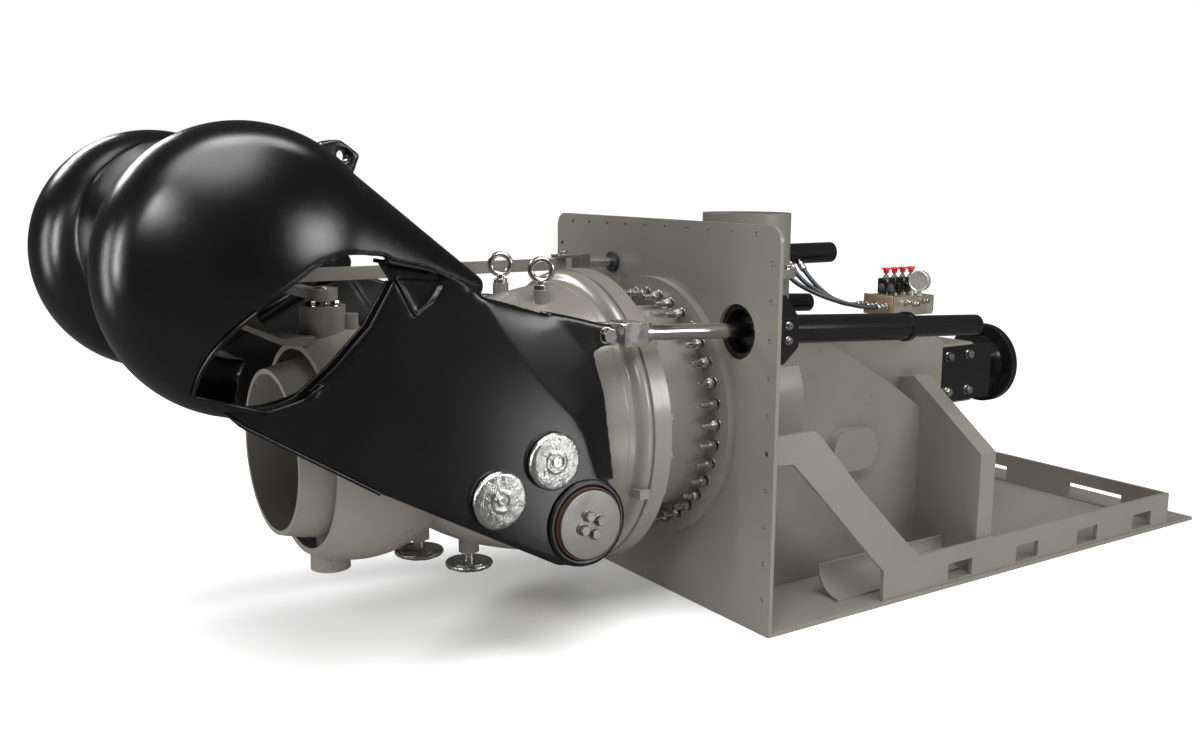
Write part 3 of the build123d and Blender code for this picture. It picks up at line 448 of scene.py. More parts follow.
def add_joined(name, meshes, body, finish_name, replaces=(), crease=32):
    """One piece from several meshes, smooth but for creases over an angle in degrees."""
    whole = bmesh.new()
    for mesh in meshes:
        data = mesh if isinstance(mesh, bpy.types.Mesh) else mesh_from(mesh, "part")
        whole.from_mesh(data)
        bpy.data.meshes.remove(data)
    data = mesh_from(whole, name)
    for face in data.polygons:
        face.use_smooth = True
    data.set_sharp_from_angle(angle=radians(crease))
    add_piece(name, data, body, finish_name, replaces)


def turned(profile, segments, place, axis, loop=False):
    """A profile turned about an axis at a place: from pole to pole, or as a loop, for a ring."""
    mesh = bmesh.new()
    rings = []
    for radius, height in profile:
        angles = [2 * pi * i / segments for i in range(segments if radius > 0 else 1)]
        rings.append([mesh.verts.new((radius * cos(a), radius * sin(a), height)) for a in angles])
    for lower, upper in zip(rings, rings[1:] + rings[:1] if loop else rings[1:]):
        for i in range(segments):
            j = (i + 1) % segments
            corners = dict.fromkeys((lower[i % len(lower)], lower[j % len(lower)],
                                     upper[j % len(upper)], upper[i % len(upper)]))
            if len(corners) > 2:
                mesh.faces.new(list(corners))
    bmesh.ops.recalc_face_normals(mesh, faces=mesh.faces)
    mesh.transform(Matrix.Translation(place) @ axis.to_track_quat("Z", "Y").to_matrix().to_4x4())
    return mesh


def stretched(shares, radius, length):
    """A profile of shares, brought to its radius and length."""
    return [(radius * out, length * up) for out, up in shares]


def arc(steps):
    """Angles of a quarter turn."""
    return [pi / 2 * i / steps for i in range(steps + 1)]


def rounded(radius_in, radius_out, low, high, edge):
    """Loop of a ring's section, with both corners of its high end rounded."""
    quarter = arc(3)
    loop = [(radius_in, low), (radius_out, low)]
    for side, way, angles in ((radius_out, -1, quarter), (radius_in, 1, reversed(quarter))):
        for a in angles:
            loop.append((side + way * edge * (1 - cos(a)), high - edge * (1 - sin(a))))
    return loop


def block(low, high, bevel):
    """A box between two corners with rounded edges."""
    mesh = bmesh.new()
    low, high = Vector(low), Vector(high)
    bmesh.ops.create_cube(mesh, size=1.0, matrix=Matrix.Diagonal((*(high - low), 1)))
    bmesh.ops.bevel(mesh, geom=list(mesh.edges), offset=bevel, segments=2, profile=0.5,
                    affect="EDGES")
    mesh.transform(Matrix.Translation((low + high) / 2))
    return mesh


def tube(name, kind, places, radius, roundness):
    """A curve object along places, with a round section."""
    curve = bpy.data.curves.new(name, "CURVE")
    curve.dimensions = "3D"
    line = curve.splines.new(kind)
    line.points.add(len(places) - 1)
    for point, place in zip(line.points, places):
        point.co = (*place, 1.0)
    curve.bevel_depth = radius
    curve.bevel_resolution = roundness
    curve.use_fill_caps = True
    return linked(name, curve)


# Profiles whose numbers are shares of a radius and of a length
BAR = ((0, 0), (1, 0), (1, 1), (0, 1))
SOCKET_HEAD = ((0, 0), (1, 0), (1, 0.75), (0.88, 1), (0.5, 1), (0.45, 0.55), (0, 0.5))
ADAPTER_HEXAGON = ((0, 0), (1, 0), (1, 0.5), (0.92, 0.54), (0, 0.54))
ADAPTER_NIPPLE = ((0, 0.5), (0.72, 0.5), (0.72, 0.72), (0.86, 0.76), (0.86, 1), (0, 1))
GAUGE_CASE = ((0, -1), (0.9, -1), (0.97, -0.85), (0.97, 0.55), (1, 0.62), (1, 0.93), (0.97, 1),
              (0.9, 1), (0.88, 0.8), (0.84, 0.72), (0, 0.72))

# Profiles in metres, from the seat outwards
HOSE_SWAGE = ((0.0118, 0.0), (0.0118, 0.008), (0.01, 0.009), (0.0112, 0.012), (0.0112, 0.026),
              (0.0098, 0.029))
PLAIN_VALVE = ((0, 0.004), (0.017, 0.004), (0.017, 0.052), (0.015, 0.055), (0.008, 0.056),
               (0, 0.056))
STEM_BORE, STEM_RADIUS = 0.0054, 0.0048
VALVE_COLLAR = ((STEM_BORE, 0.0), (0.016, 0.0), (0.016, 0.006), (STEM_BORE, 0.006))
STEM_GUIDE = ((STEM_BORE, 0.054), (0.0105, 0.054), (0.0105, 0.06), (0.008, 0.062))
KNOB = ((0, 0), (0.0125, 0), (0.0125, 0.005), (0.0085, 0.008), (0.0085, 0.014), (0.012, 0.017),
        (0.0105, 0.036), (0.0085, 0.039), (0, 0.04))
PLUG_HEXAGON = ((0, 0), (0.011, 0), (0.011, 0.007), (0.0095, 0.009), (0, 0.009))
PLUG_END = ((0, 0.008), (0.0075, 0.008), (0.0075, 0.018), (0.006, 0.02), (0, 0.02))
GAUGE_FOOT = ((0, 0), (0.0105, 0), (0.0105, 0.01), (0.008, 0.012))
BOWL_BEAD = ((0.378, -0.002), (0.402, -0.002), (0.4055, 0.002), (0.4075, 0.008), (0.4078, 0.014),
             (0.4062, 0.02), (0.402, 0.026), (0.396, 0.031), (0.389, 0.0345), (0.383, 0.038),
             (0.3788, 0.044), (0.3775, 0.052), (0.378, 0.06), (0.37, 0.064))

# A push button's cap, with heights counted from the button's top
MUSHROOM = ((0, -0.02), (0.008, -0.02), (0.0092, -0.0185), (0.0095, -0.011),
            (0.0115, -0.008), (0.0155, -0.0062), (0.0163, -0.005), (0.016, -0.0036),
            (0.013, -0.0017), (0.007, -0.0004), (0, -0.0001))


# Fasteners by Geometry Nodes

CORNER_PER_FLATS = 0.57735  # a hexagon's corner radius for its width across flats
BEVEL_PER_FLATS = 0.06
HEXAGON_REPEATS = radians(60)


def fastener_tree():
    """Hexagon on a washer with a thread end, each with a bevelled top, on every seat point."""
    tree = bpy.data.node_groups.new("Hex fasteners", "GeometryNodeTree")
    face = tree.interface
    face.new_socket(name="Seats", in_out="INPUT", socket_type="NodeSocketGeometry")
    for label in ("Across flats", "Head height", "Washer radius", "Washer height",
                  "Thread radius", "Thread length", "Bevel"):
        socket = face.new_socket(name=label, in_out="INPUT", socket_type="NodeSocketFloat")
        socket.subtype = "DISTANCE"
    face.new_socket(name="Seed", in_out="INPUT", socket_type="NodeSocketInt")
    face.new_socket(name="Finish", in_out="INPUT", socket_type="NodeSocketMaterial")
    face.new_socket(name="Fasteners", in_out="OUTPUT", socket_type="NodeSocketGeometry")
    given = node_in(tree, "NodeGroupInput").outputs

    def maths(operation, first, second):
        node = node_in(tree, "ShaderNodeMath", {0: first, 1: second}, operation=operation)
        return node.outputs[0]

    def bar(radius, height, base, sides):
        """A bar that stands on a height, with its top edge bevelled."""
        solid = node_in(tree, "GeometryNodeMeshCylinder", {
            "Vertices": sides, "Side Segments": 2, "Radius": radius, "Depth": height})
        place = node_in(tree, "GeometryNodeInputPosition").outputs[0]
        x, y, z = node_in(tree, "ShaderNodeSeparateXYZ", {0: place}).outputs
        half = maths("MULTIPLY", height, 0.5)
        bevel = given["Bevel"]
        at_top = maths("GREATER_THAN", z, maths("MULTIPLY", height, 0.25))
        at_middle = maths("COMPARE", z, 0.0)
        narrow = maths("SUBTRACT", 1.0, maths("MULTIPLY", at_top, maths("DIVIDE", bevel, radius)))
        rise = maths("MULTIPLY", at_middle, maths("SUBTRACT", half, bevel))
        moved = node_in(tree, "ShaderNodeCombineXYZ", {
            "X": maths("MULTIPLY", x, narrow),
            "Y": maths("MULTIPLY", y, narrow),
            "Z": maths("ADD", maths("ADD", z, rise), maths("ADD", half, base)),
        })
        shape = node_in(tree, "GeometryNodeSetPosition", {
            "Geometry": solid.outputs["Mesh"], "Position": moved.outputs[0]})
        return shape.outputs["Geometry"]

    washer = given["Washer height"]
    corner = maths("MULTIPLY", given["Across flats"], CORNER_PER_FLATS)
    hexagon = bar(corner, given["Head height"], washer, 6)
    disc = bar(given["Washer radius"], washer, 0.0, 24)
    thread = bar(given["Thread radius"], given["Thread length"], 0.0, 16)
    whole = node_in(tree, "GeometryNodeJoinGeometry")
    for part in (hexagon, disc, thread):
        feed(tree, whole, {"Geometry": part})
    outward = node_in(tree, "GeometryNodeInputNamedAttribute", {"Name": "outward"},
                      data_type="FLOAT_VECTOR")
    aim = node_in(tree, "FunctionNodeAlignRotationToVector",
                  {"Vector": outward.outputs["Attribute"]}, axis="Z")
    placed = node_in(tree, "GeometryNodeInstanceOnPoints", {
        "Points": given["Seats"], "Instance": whole.outputs["Geometry"],
        "Rotation": aim.outputs["Rotation"]})
    chance = node_in(tree, "FunctionNodeRandomValue",
                     {3: HEXAGON_REPEATS, "Seed": given["Seed"]}, data_type="FLOAT")
    spin = node_in(tree, "ShaderNodeCombineXYZ", {"Z": chance.outputs[1]})
    turn = node_in(tree, "GeometryNodeRotateInstances", {
        "Instances": placed.outputs["Instances"], "Rotation": spin.outputs[0]})
    real = node_in(tree, "GeometryNodeRealizeInstances", {"Geometry": turn.outputs["Instances"]})
    coat = node_in(tree, "GeometryNodeSetMaterial", {
        "Geometry": real.outputs["Geometry"], "Material": given["Finish"]})
    node_in(tree, "NodeGroupOutput", {"Fasteners": coat.outputs["Geometry"]})
    return tree


def grown(name, seats, tree, values):
    """Run a tree on seat points, each a (place, outward) pair, and keep a plain mesh."""
    mesh = bpy.data.meshes.new(name)
    mesh.from_pydata([place for place, _ in seats], [], [])
    facing = mesh.attributes.new("outward", "FLOAT_VECTOR", "POINT")
    for i, (_, direction) in enumerate(seats):
        facing.data[i].vector = direction
    holder = linked(name, mesh)
    modifier = holder.modifiers.new("Nodes", "NODES")
    modifier.node_group = tree
    for item in tree.interface.items_tree:
        if item.in_out == "INPUT" and item.name in values:
            modifier[item.identifier] = values[item.name]
    return baked(holder, bpy.data.meshes, name)


def hex_fasteners(tree, node, kind_of, finish_name="bright_steel"):
    """Detailed fasteners in place of a CAD node's plain hexagons.

    kind_of(centre) gives the way that a fastener faces, its width across flats, head height,
    thread radius and thread length.
    """
    kinds = {}
    for low, high in solids_of(node):
        centre = (low + high) / 2
        way, *shape = kind_of(centre)
        reach = sum(abs((high[i] - low[i]) * way[i]) for i in range(3)) / 2
        kinds.setdefault(tuple(shape), []).append((centre - way * reach, way))
    name = "dressed_" + node
    meshes = []
    for (flats, head, thread_radius, thread_length), seats in kinds.items():
        meshes.append(grown(name, seats, tree, {
            "Across flats": flats,
            "Head height": head,
            "Washer radius": flats / 2 + sizes().washer_rim,
            "Washer height": sizes().washer_height,
            "Thread radius": thread_radius,
            "Thread length": thread_length,
            "Bevel": flats * BEVEL_PER_FLATS,
            "Seed": sizes().seed,
            "Finish": finish_named(finish_name),
        }))
    add_joined(name, meshes, body_of(node), finish_name, (node,), crease=25)


# Operators

# Area lights: name, place, place that it shines at, width, height and power in watts.
LIGHTS = (
    ("key", (-3.6, -3.0, 2.6), (-0.6, 0.0, 0.2), 0.9, 0.9, 52.0),
    ("strip_left", (-4.6, -0.9, 0.9), (-1.2, 0.0, 0.3), 0.35, 1.4, 46.0),
    ("fill_right", (2.6, -4.4, 1.6), (0.6, 0.0, 0.0), 2.2, 1.6, 100.0),
    ("top", (-0.4, -0.6, 3.6), (-0.4, 0.0, 0.0), 2.6, 0.8, 60.0),
    ("rim", (-2.4, 3.2, 2.6), (-0.9, 0.0, 0.4), 2.4, 0.6, 90.0),
    ("low_left", (-5.2, 0.6, 0.5), (-1.2, 0.0, 0.3), 0.8, 2.4, 50.0),
    ("low_right", (0.1, -1.5, -0.36), (-0.55, -0.45, -0.02), 0.16, 0.5, 2.0),
)
SUN_SPREAD = radians(48)  # the wider, the softer its shadow
SUN_WAY = (0.06, 0.4, -0.91)
FLOOR, FLOOR_REFLECTED = 0.955, 0.1  # white of its paint, and in glossy surfaces
CLEAR_WORLD, WALLS = 1.0, 0.08  # strength to the camera, and in glossy surfaces


def aimed(way):
    """Turn of a light that shines a way."""
    return Vector(way).to_track_quat("-Z", "Y").to_euler()


def white(background, strength):
    """A world's background node as even white light."""
    feed(background.id_data, background, {"Color": (1, 1, 1, 1), "Strength": strength})
    return background.outputs[0]


class WATERJET_OT_stage(bpy.types.Operator):
    """Camera, floor, world and soft studio lights"""

    bl_idname = "waterjet.stage"
    bl_label = "Studio"

    def execute(self, context):
        s = context.scene.waterjet_studio
        camera = bpy.data.cameras.new("camera")
        camera.sensor_width = 36.0
        camera.lens = s.lens
        camera.clip_start = 0.05
        camera.clip_end = 200.0
        holder = linked("camera", camera)
        level = cos(s.pitch)
        forward = Vector((cos(s.yaw) * level, sin(s.yaw) * level, sin(s.pitch)))
        right = Vector((sin(s.yaw), -cos(s.yaw), 0.0))
        up = right.cross(forward)
        across = cos(s.roll) * right + sin(s.roll) * up
        above = -sin(s.roll) * right + cos(s.roll) * up
        turn = Matrix((across, above, -forward)).transposed().to_4x4()
        holder.matrix_world = Matrix.Translation(s.camera_place) @ turn
        context.scene.camera = holder

        mesh = bmesh.new()
        bmesh.ops.create_grid(mesh, x_segments=2, y_segments=2, size=s.floor_size / 2,
                              matrix=Matrix.Translation((0, 0, CAD_BOX[0].z)))
        floor = linked("floor", mesh_from(mesh, "floor"))
        paint = finish("floor_paint", (FLOOR,) * 3, 0.75, mottle=0.005, mottle_scale=0.6,
                       grain=0.02, specular=0.1)
        tree = paint.node_tree
        dark = node_in(tree, "ShaderNodeBsdfDiffuse", {"Color": (*(FLOOR_REFLECTED,) * 3, 1)})
        dimmed = by_ray(tree, "Is Glossy Ray", tree.nodes["Principled BSDF"].outputs[0],
                        dark.outputs[0])
        feed(tree, tree.nodes["Material Output"], {"Surface": dimmed})
        floor.data.materials.append(paint)

        world = bpy.data.worlds.new("world")
        world.use_nodes = True
        tree = world.node_tree
        even = white(tree.nodes["Background"], s.world_light)
        walls = white(node_in(tree, "ShaderNodeBackground"), WALLS)
        clear = white(node_in(tree, "ShaderNodeBackground"), CLEAR_WORLD)
        lit = by_ray(tree, "Is Camera Ray", by_ray(tree, "Is Glossy Ray", even, walls), clear)
        feed(tree, tree.nodes["World Output"], {"Surface": lit})
        context.scene.world = world
        context.scene.view_settings.view_transform = "Standard"

        sun = bpy.data.lights.new("sun", "SUN")
        sun.energy = s.sun_light
        sun.angle = SUN_SPREAD
        linked("sun", sun).rotation_euler = aimed(SUN_WAY)
        for name, place, target, wide, tall, power in LIGHTS:
            lamp = bpy.data.lights.new(name, "AREA")
            lamp.shape = "RECTANGLE"
            lamp.size = wide
            lamp.size_y = tall
            lamp.energy = power
            holder = linked(name, lamp)
            holder.visible_camera = False
            holder.location = place
            holder.rotation_euler = aimed(Vector(target) - Vector(place))
        return {"FINISHED"}


# CAD nodes whose finish here isn't that of their slot
OTHER_FINISHES = {
    "steering_cylinder": "black_steel",
    "ram_barrels": "black_steel",
    "drive_flange": "black_steel",
    "pivot_caps": "cap_steel",
    "steering_link": "frame_paint",
}


class WATERJET_OT_finishes(bpy.types.Operator):
    """Procedural finish on every CAD node"""

    bl_idname = "waterjet.finishes"
    bl_label = "Finishes"

    def execute(self, context):
        for name, node in frame["nodes"].items():
            chosen = finish_named(OTHER_FINISHES.get(name, slot_of(name)))
            for i in range(len(node.data.materials)):
                node.data.materials[i] = chosen
        return {"FINISHED"}


# Fasteners: width across flats, head height, thread radius and thread length
RING_STUD = (0.028, 0.014, 0.009, 0.037)
BOWL_BOLT = (0.027, 0.0105, 0.006, 0.002)
TILLER_BOLT = (0.019, 0.0085, 0.004, 0.002)
MOUNT_BOLT = (0.017, 0.0055, 0.004, 0.002)
PIPE_BOLT = (0.015, 0.0075, 0.004, 0.002)
BRACKET_BOLT = (0.026, 0.0095, 0.006, 0.002)
CAP_BOLT = (0.024, 0.0095, 0.006, 0.002)
RAM_PIN = (0.036, 0.012, 0.01, 0.002)


class WATERJET_OT_fasteners(bpy.types.Operator):
    """Nuts, bolts and studs in place of the plain hexagons"""

    bl_idname = "waterjet.fasteners"
    bl_label = "Fasteners"

    def execute(self, context):
        def sideways(centre):
            return Vector((0, -1 if centre.y < 0 else 1, 0))

        def on_housings(centre):
            """Tell the bolts of tiller, ram mounts, pipe and brackets apart by their places."""
            if centre.x < 0:
                return UP, *TILLER_BOLT
            if abs(centre.y) > 0.4:
                return sideways(centre), *MOUNT_BOLT
            if centre.z > 0.3:
                return UP, *PIPE_BOLT
            return sideways(centre), *BRACKET_BOLT

        tree = fastener_tree()
        hex_fasteners(tree, "ring_studs", lambda c: (AFT, *RING_STUD))
        hex_fasteners(tree, "bowl_flange_bolts", lambda c: (FORWARD, *BOWL_BOLT), "grey_casting")
        hex_fasteners(tree, "housing_bolts", on_housings)
        hex_fasteners(tree, "pivot_cap_bolts", lambda c: (sideways(c), *CAP_BOLT), "cap_steel")
        hex_fasteners(tree, "ram_pin_heads", lambda c: (sideways(c), *RAM_PIN))
        return {"FINISHED"}


ANODE_WELL, ANODE_STEM = 0.021, 0.015  # radius of the well round its bolt, and of its stem
ANODE_BOLT = (0.011, 0.006)  # radius and height of its head
LONGEST_EDGE = 0.005  # longer edges of an anode are split, so that it can be dimpled
CELLS, WAVES = 62.0, 40.0  # dimples and waves per metre
DIMPLED, WAVED, DEEPEST = 1.3, 0.8, 0.9  # their shares of the depth, and the limit of both
USUAL_REACH = 0.35  # of a cell, from a place to the middle of the nearest dimple


def anode(place, way, radius, height):
    """A cast zinc disc on a foot: rounded rim, crowned face, ring round its well.

    Plain numbers are shares of radius or height, but metres where they go with the well.
    """
    well = ANODE_WELL
    profile = [(0, 0), (radius * 0.8, 0), (radius * 0.8, height * 0.14),
               (radius * 0.97, height * 0.15)]
    edge = height * 0.5
    for a in arc(6):
        profile.append((radius - edge * (1 - cos(a)), height * 0.36 + edge * sin(a)))
    reach = radius - edge
    for i in range(1, 10):
        share = i / 9
        crown = 0.86 + 0.07 * sin(pi / 2 * share)
        profile.append((reach + (well + 0.008 - reach) * share, height * crown))
    profile += [(well + 0.006, height * 0.98), (well + 0.002, height),
                (well - 0.002, height * 0.97), (well - 0.003, height * 0.84), (0, height * 0.84)]
    return turned(profile, 96, place, way)


def dimple(disc, seat, way, foot, depth):
    """Push a disc's surface in and out above its foot, as rough cast metal."""
    for vert in disc.verts:
        if (vert.co - seat).dot(way) > foot:
            reach = noise.voronoi(vert.co * CELLS)[0][0]
            swell = WAVED * noise.noise(vert.co * WAVES) + DIMPLED * (reach - USUAL_REACH)
            vert.co += vert.normal * depth * max(-DEEPEST, min(DEEPEST, swell))


class WATERJET_OT_anodes(bpy.types.Operator):
    """Dimpled zinc anodes with their centre bolts"""

    bl_idname = "waterjet.anodes"
    bl_label = "Anodes"

    def execute(self, context):
        depth = sizes().hammer_depth
        for node, axis in (("duct_anodes", 1), ("bowl_anodes", 2)):
            meshes = []
            bolts = []
            for low, high in solids_of(node):
                centre = (low + high) / 2
                way = Vector((0, 0, 0))
                way[axis] = -1 if centre[axis] < 0 else 1
                seat = centre.copy()
                seat[axis] = high[axis] if way[axis] < 0 else low[axis]
                radius = (high.x - low.x) / 2
                height = high[axis] - low[axis]
                if node == "bowl_anodes":
                    stem = height - sizes().bowl_anode_height
                    bar = stretched(BAR, ANODE_STEM, stem + 0.001)
                    meshes.append(turned(bar, 32, seat, way))
                    seat = seat + way * stem
                    height = sizes().bowl_anode_height
                disc = anode(seat, way, radius - depth, height - depth)
                long = [edge for edge in disc.edges if edge.calc_length() > LONGEST_EDGE]
                bmesh.ops.subdivide_edges(disc, edges=long, cuts=1, use_grid_fill=True)
                dimple(disc, seat, way, height * 0.25, depth)
                meshes.append(disc)
                head = stretched(SOCKET_HEAD, *ANODE_BOLT)
                bolts.append(turned(head, 24, seat + way * height * 0.8, way))
            add_joined("dimpled_" + node, meshes, body_of(node), "zinc", (node,),
                       crease=50)
            add_joined("bolts_of_" + node, bolts, body_of(node), "bright_steel")
        return {"FINISHED"}


DUCT_FACES = 190000  # most triangles of the cast duct
SMOOTH_ROUNDS = 8


def relax(holder, name):
    """Even out a working object's surface."""
    holder.modifiers.new(name, "SMOOTH").iterations = SMOOTH_ROUNDS


def cast_copy(node, name):
    """A remeshed, smoothed and thinned copy of a CAD node, as it would come out of the mould."""
    holder = linked(name, mesh_from(merged(node), name))
    remesh = holder.modifiers.new("Remesh", "REMESH")
    remesh.voxel_size = sizes().duct_voxel
    remesh.use_smooth_shade = True
    relax(holder, "Relax")
    count = 2 * len(shown(holder).data.polygons)
    if count > DUCT_FACES:
        thin = holder.modifiers.new("Thin", "DECIMATE")
        thin.ratio = DUCT_FACES / count
        relax(holder, "Settle")
    holder.modifiers.new("Shading", "WEIGHTED_NORMAL")
    return baked(holder, bpy.data.meshes, name)


def edge_chains(node, low, high, angle):
    """Chains of places along a CAD node's sharp edges inside a box, from junction to junction."""
    mesh = merged(node)
    near = {}
    for edge in mesh.edges:
        inside = all(low[i] <= vert.co[i] <= high[i] for vert in edge.verts for i in range(3))
        if inside and len(edge.link_faces) == 2 and edge.calc_face_angle() > angle:
            for vert in edge.verts:
                near.setdefault(vert, []).append(edge)
    used = set()
    chains = []
    ends = [vert for vert in near if len(near[vert]) != 2]
    for start in ends + list(near):
        for edge in near[start]:
            chain = [start]
            while edge and edge not in used:
                used.add(edge)
                chain.append(edge.other_vert(chain[-1]))
                meeting = near[chain[-1]]
                onward = [other for other in meeting if other not in used]
                edge = onward[0] if onward and len(meeting) == 2 else None
            if len(chain) > 1:
                chains.append([vert.co.copy() for vert in chain])
    mesh.free()
    return chains


# Rings round the pivots: inner and outer radius, foot and top from the arm's face, rounding
ARM_FACE = 0.43  # distance of the arm's outer face from the middle
BOSS_LIP = (0.0935, 0.109, -0.004, 0.009, 0.004)
BUSH_COLLAR = (0.0868, 0.0925, -0.002, 0.014, 0.001)
# Box round the opening in an arm: aft to forward, inner to outer side, low to high
OPENING_X, OPENING_Y, OPENING_Z = (-1.46, -0.905), (0.36, 0.535), (-0.12, 0.5)
SHORTEST_RIM = 0.06


class WATERJET_OT_duct(bpy.types.Operator):
    """Reverse duct as one smooth casting"""

    bl_idname = "waterjet.duct"
    bl_label = "Reverse duct"

    def execute(self, context):
        add_piece("cast_reverse_duct", cast_copy("reverse_duct", "cast_reverse_duct"),
                  body_of("reverse_duct"), "black_paint", ("reverse_duct",))
        rims = []
        lips = []
        collars = []
        low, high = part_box("pivot_caps")
        for side in (-1, 1):
            across = sorted(side * y for y in OPENING_Y)
            corners = zip(OPENING_X, across, OPENING_Z)
            for chain in edge_chains("reverse_duct", *corners, radians(45)):
                length = sum((b - a).length for a, b in zip(chain, chain[1:]))
                if length > SHORTEST_RIM:
                    rim = tube("rim", "POLY", chain, sizes().rim_radius, 2)
                    rims.append(baked(rim, bpy.data.curves, "rim"))
            pivot = Vector(((low[0] + high[0]) / 2, side * ARM_FACE, (low[2] + high[2]) / 2))
            way = Vector((0, side, 0))
            lips.append(turned(rounded(*BOSS_LIP), 96, pivot, way, loop=True))
            collars.append(turned(rounded(*BUSH_COLLAR), 96, pivot, way, loop=True))
        add_joined("opening_rims", rims, "duct", "black_paint", crease=60)
        add_joined("boss_lips", lips, "duct", "black_paint", crease=40)
        add_joined("bush_collars", collars, "duct", "bronze")
        return {"FINISHED"}


# Control points in mm, from the steering cylinder's ports to the valve block
HOSE_ROUTES = {
    "hose_1": ((655, 180.18, 376.18), (655, 137.68, 333.68), (685, 54, 292), (745, -18, 262),
               (824, -65, 244), (890, -65, 244)),
    "hose_2": ((700, 180.18, 376.18), (700, 137.68, 333.68), (722, 72, 294), (770, 14, 260),
               (830, -20, 244), (890, -20, 244)),
    "hose_3": ((745, 180.18, 376.18), (745, 144.68, 340.68), (758, 95, 296), (788, 49, 258),
               (840, 25, 244), (890, 25, 244)),
}
SWAGE_PLAY = 0.0002  # between a hose's cover and the swage round it


class WATERJET_OT_hoses(bpy.types.Operator):
    """Hydraulic hoses between the steering cylinder and the valve block, with their swaged ends"""

    bl_idname = "waterjet.hoses"
    bl_label = "Hoses"

    def execute(self, context):
        radius = sizes().hose_radius
        grip = radius + SWAGE_PLAY
        swage = [(grip, HOSE_SWAGE[0][1]), *HOSE_SWAGE, (grip, HOSE_SWAGE[-1][1])]
        ends = []
        for name, route in HOSE_ROUTES.items():
            places = [[MM * value for value in place] for place in route]
            hose = tube("cover_of_" + name, "NURBS", places, radius, 5)
            line = hose.data.splines[0]
            line.order_u = 3
            line.use_endpoint_u = True
            line.resolution_u = 12
            hose.data.materials.append(finish_named("black_rubber"))
            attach(hose, body_of(name))
            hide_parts(name)
            for place, onward in ((route[0], route[1]), (route[-1], route[-2])):
                way = (Vector(onward) - Vector(place)).normalized()
                ends.append(turned(swage, 24, Vector(place) * MM, way, loop=True))
        add_joined("hose_ends", ends, "hull_side", "plated_steel")
        return {"FINISHED"}


COIL_BLOCKS = (((-0.018, -0.02, 0.006), (0.018, 0.02, 0.056)),  # coil, and its plug
               ((-0.01, -0.03, 0.014), (0.01, -0.018, 0.04)))
BUTTONS, ON_COILS = 4, 3  # the last button stands on a plain valve
STEM_DROP, GUIDE_DROP = 0.018, 0.0264  # from a button's top down to its stem and guide
KNOB_PLACES = ((0.014, 0.03), (0.014, 0.07))  # from the top's aft corner
PLUG_PLACES = ((0.06, 0.02), (0.1, 0.026), (0.145, 0.018))  # along and down from it
# End plates: aft and forward face from the block's end, foot and head from its top
AFT_PLATE, FORWARD_PLATE = (-0.006, 0.002, -0.056, 0.004), (-0.002, 0.01, -0.058, -0.002)
PLATE_INSET = 0.004
COIL_EDGE, PLATE_EDGE = 0.002, 0.0015  # rounding of their edges
AFT_PART = 0.05  # adapters on this part of the block face aft
LARGEST_ADAPTER = 0.05  # taller fittings of the CAD node are the coils
GAUGE_DEPTH = 0.014  # half the thickness of the gauge's case


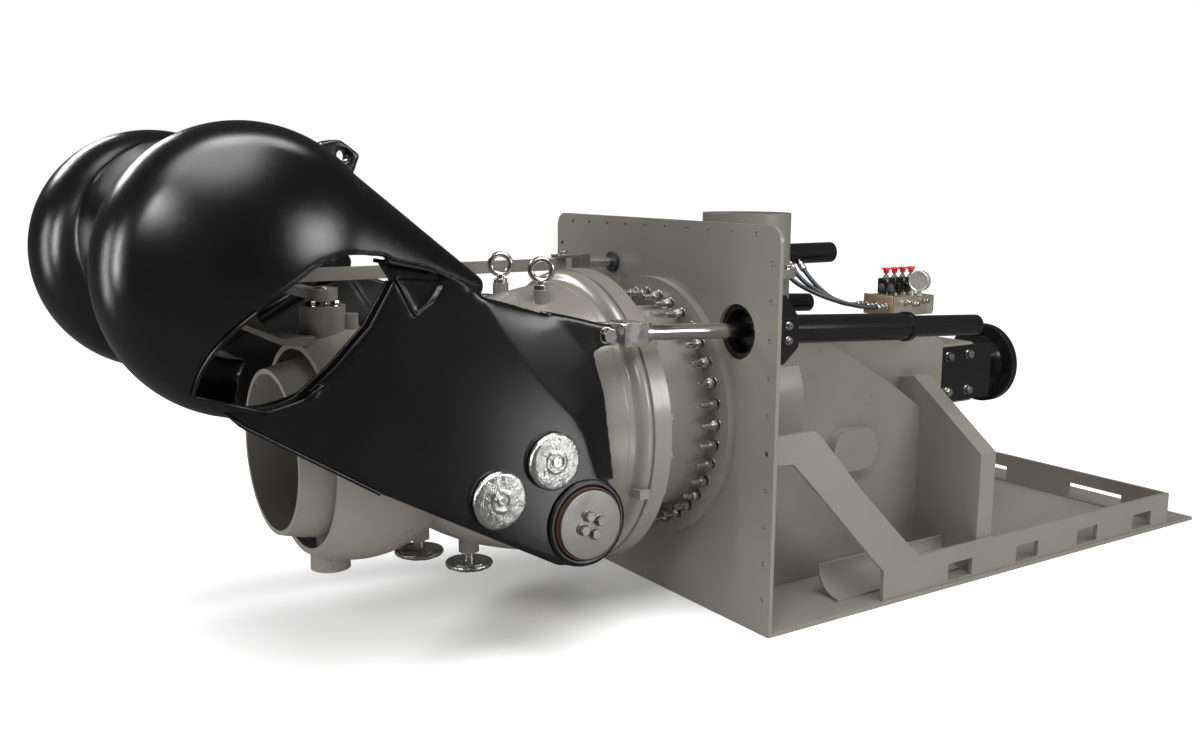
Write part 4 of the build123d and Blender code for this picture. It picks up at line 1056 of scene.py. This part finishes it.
class WATERJET_OT_valves(bpy.types.Operator):
    """Valve block dressing: coils, end plates, adapters, knobs, gauge and push buttons"""

    bl_idname = "waterjet.valves"
    bl_label = "Valve block"

    def execute(self, context):
        low, high = box_of("valve_block")
        top = high.z
        coils = []
        metal = []
        for number in range(1, BUTTONS + 1):
            name = "push_button_%d" % number
            button_low, button_high = box_of(name)
            centre = (button_low + button_high) / 2
            foot = Vector((centre.x, centre.y, top))
            if number <= ON_COILS:
                for start, end in COIL_BLOCKS:
                    coils.append(block(foot + Vector(start), foot + Vector(end), COIL_EDGE))
            else:
                metal.append(turned(PLAIN_VALVE, 32, foot, UP))
            metal.append(turned(VALVE_COLLAR, 32, foot, UP, loop=True))
            guide = button_high.z - GUIDE_DROP - top
            metal.append(turned([*STEM_GUIDE, (STEM_GUIDE[-1][0], guide), (STEM_BORE, guide)], 6,
                                foot, UP, loop=True))
            seat = Vector((centre.x, centre.y, button_low.z))
            tall = button_high.z - button_low.z
            stem = turned(stretched(BAR, STEM_RADIUS, tall - STEM_DROP), 20, seat, UP)
            add_joined("stem_of_" + name, [stem], body_of(name), "plated_steel")
            cap = turned([(out, tall + up) for out, up in MUSHROOM], 40, seat, UP)
            add_joined("mushroom_of_" + name, [cap], body_of(name), "red_plastic",
                       (name,), crease=50)
        for start, end in solids_of("valve_fittings"):
            size = end - start
            if size.z > LARGEST_ADAPTER or size.z > size.x:
                continue
            centre = (start + end) / 2
            way = AFT if centre.x < low.x + AFT_PART else FORWARD
            seat = Vector((end.x if way.x < 0 else start.x, centre.y, centre.z))
            for shares, sides in ((ADAPTER_HEXAGON, 6), (ADAPTER_NIPPLE, 24)):
                metal.append(turned(stretched(shares, size.z / 2, size.x), sides, seat, way))
        for along, down in PLUG_PLACES:
            seat = Vector((low.x + along, low.y, top - down))
            metal.append(turned(PLUG_HEXAGON, 6, seat, STARBOARD))
            metal.append(turned(PLUG_END, 20, seat, STARBOARD))
        plates = []
        for end, (back, front, down, up) in ((low.x, AFT_PLATE), (high.x, FORWARD_PLATE)):
            plates.append(block((end + back, low.y + PLATE_INSET, top + down),
                                (end + front, high.y - PLATE_INSET, top + up), PLATE_EDGE))
        knobs = [turned(KNOB, 12, Vector((low.x + along, low.y + across, top)), UP)
                 for along, across in KNOB_PLACES]
        add_joined("valve_adapters", metal, "hull_side", "plated_steel")
        add_joined("valve_end_plates", plates, "hull_side", "tan_plate")
        add_joined("valve_knobs", knobs, "hull_side", "black_rubber")
        add_joined("valve_coils", coils, "hull_side", "black_steel",
                   ("valve_fittings",))

        low, high = box_of("pressure_gauge")
        radius = (high.x - low.x) / 2
        middle = Vector(((low.x + high.x) / 2, (low.y + high.y) / 2, high.z - radius))
        turn = sizes().gauge_turn
        way = Vector((-cos(turn), -sin(turn), 0))
        case = turned(stretched(GAUGE_CASE, radius, GAUGE_DEPTH), 72, middle, way)
        stem = middle.z - radius * 0.95 - top
        foot = turned([*GAUGE_FOOT, (GAUGE_FOOT[-1][0], stem), (0, stem)], 6,
                      Vector((middle.x, middle.y, top)), UP)
        add_joined("gauge_body", [case, foot], "hull_side", "gauge_case",
                   ("pressure_gauge",))
        return {"FINISHED"}


SEAM = 0.028  # from the front of the bowl's flange back to the seam behind it


class WATERJET_OT_bowl(bpy.types.Operator):
    """Rolled bead and seam behind the bowl's flange"""

    bl_idname = "waterjet.bowl"
    bl_label = "Bowl"

    def execute(self, context):
        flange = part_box("stator_bowl")[1][0]
        bead = turned(BOWL_BEAD, 160, Vector((flange - SEAM, 0, 0)), AFT, loop=True)
        add_joined("bowl_bead", [bead], "hull_side", "grey_casting", crease=60)
        return {"FINISHED"}


class WATERJET_PT_panel(bpy.types.Panel):
    """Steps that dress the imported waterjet"""

    bl_label = "Marine Waterjet"
    bl_idname = "WATERJET_PT_panel"
    bl_space_type = "VIEW_3D"
    bl_region_type = "UI"
    bl_category = "Waterjet"

    def draw(self, context):
        for operator in OPERATORS:
            self.layout.operator(operator.bl_idname)
        for group in GROUPS:
            settings = getattr(context.scene, group)
            for key in settings.bl_rna.properties.keys():
                if key not in ("rna_type", "name"):
                    self.layout.prop(settings, key)


OPERATORS = (
    WATERJET_OT_stage,
    WATERJET_OT_hoses,
    WATERJET_OT_finishes,
    WATERJET_OT_duct,
    WATERJET_OT_bowl,
    WATERJET_OT_fasteners,
    WATERJET_OT_anodes,
    WATERJET_OT_valves,
)
GROUPS = {
    "waterjet_colours": WaterjetColours,
    "waterjet_studio": WaterjetStudio,
    "waterjet_sizes": WaterjetSizes,
}
CLASSES = (*GROUPS.values(), *OPERATORS, WATERJET_PT_panel)


def register():
    for entry in CLASSES:
        bpy.utils.register_class(entry)
    for name, group in GROUPS.items():
        setattr(bpy.types.Scene, name, PointerProperty(type=group))


def unregister():
    for name in GROUPS:
        delattr(bpy.types.Scene, name)
    for entry in reversed(CLASSES):
        bpy.utils.unregister_class(entry)


def main():
    register()
    for operator in OPERATORS:
        family, step = operator.bl_idname.split(".")
        getattr(getattr(bpy.ops, family), step)()


if __name__ == "__main__":
    main()
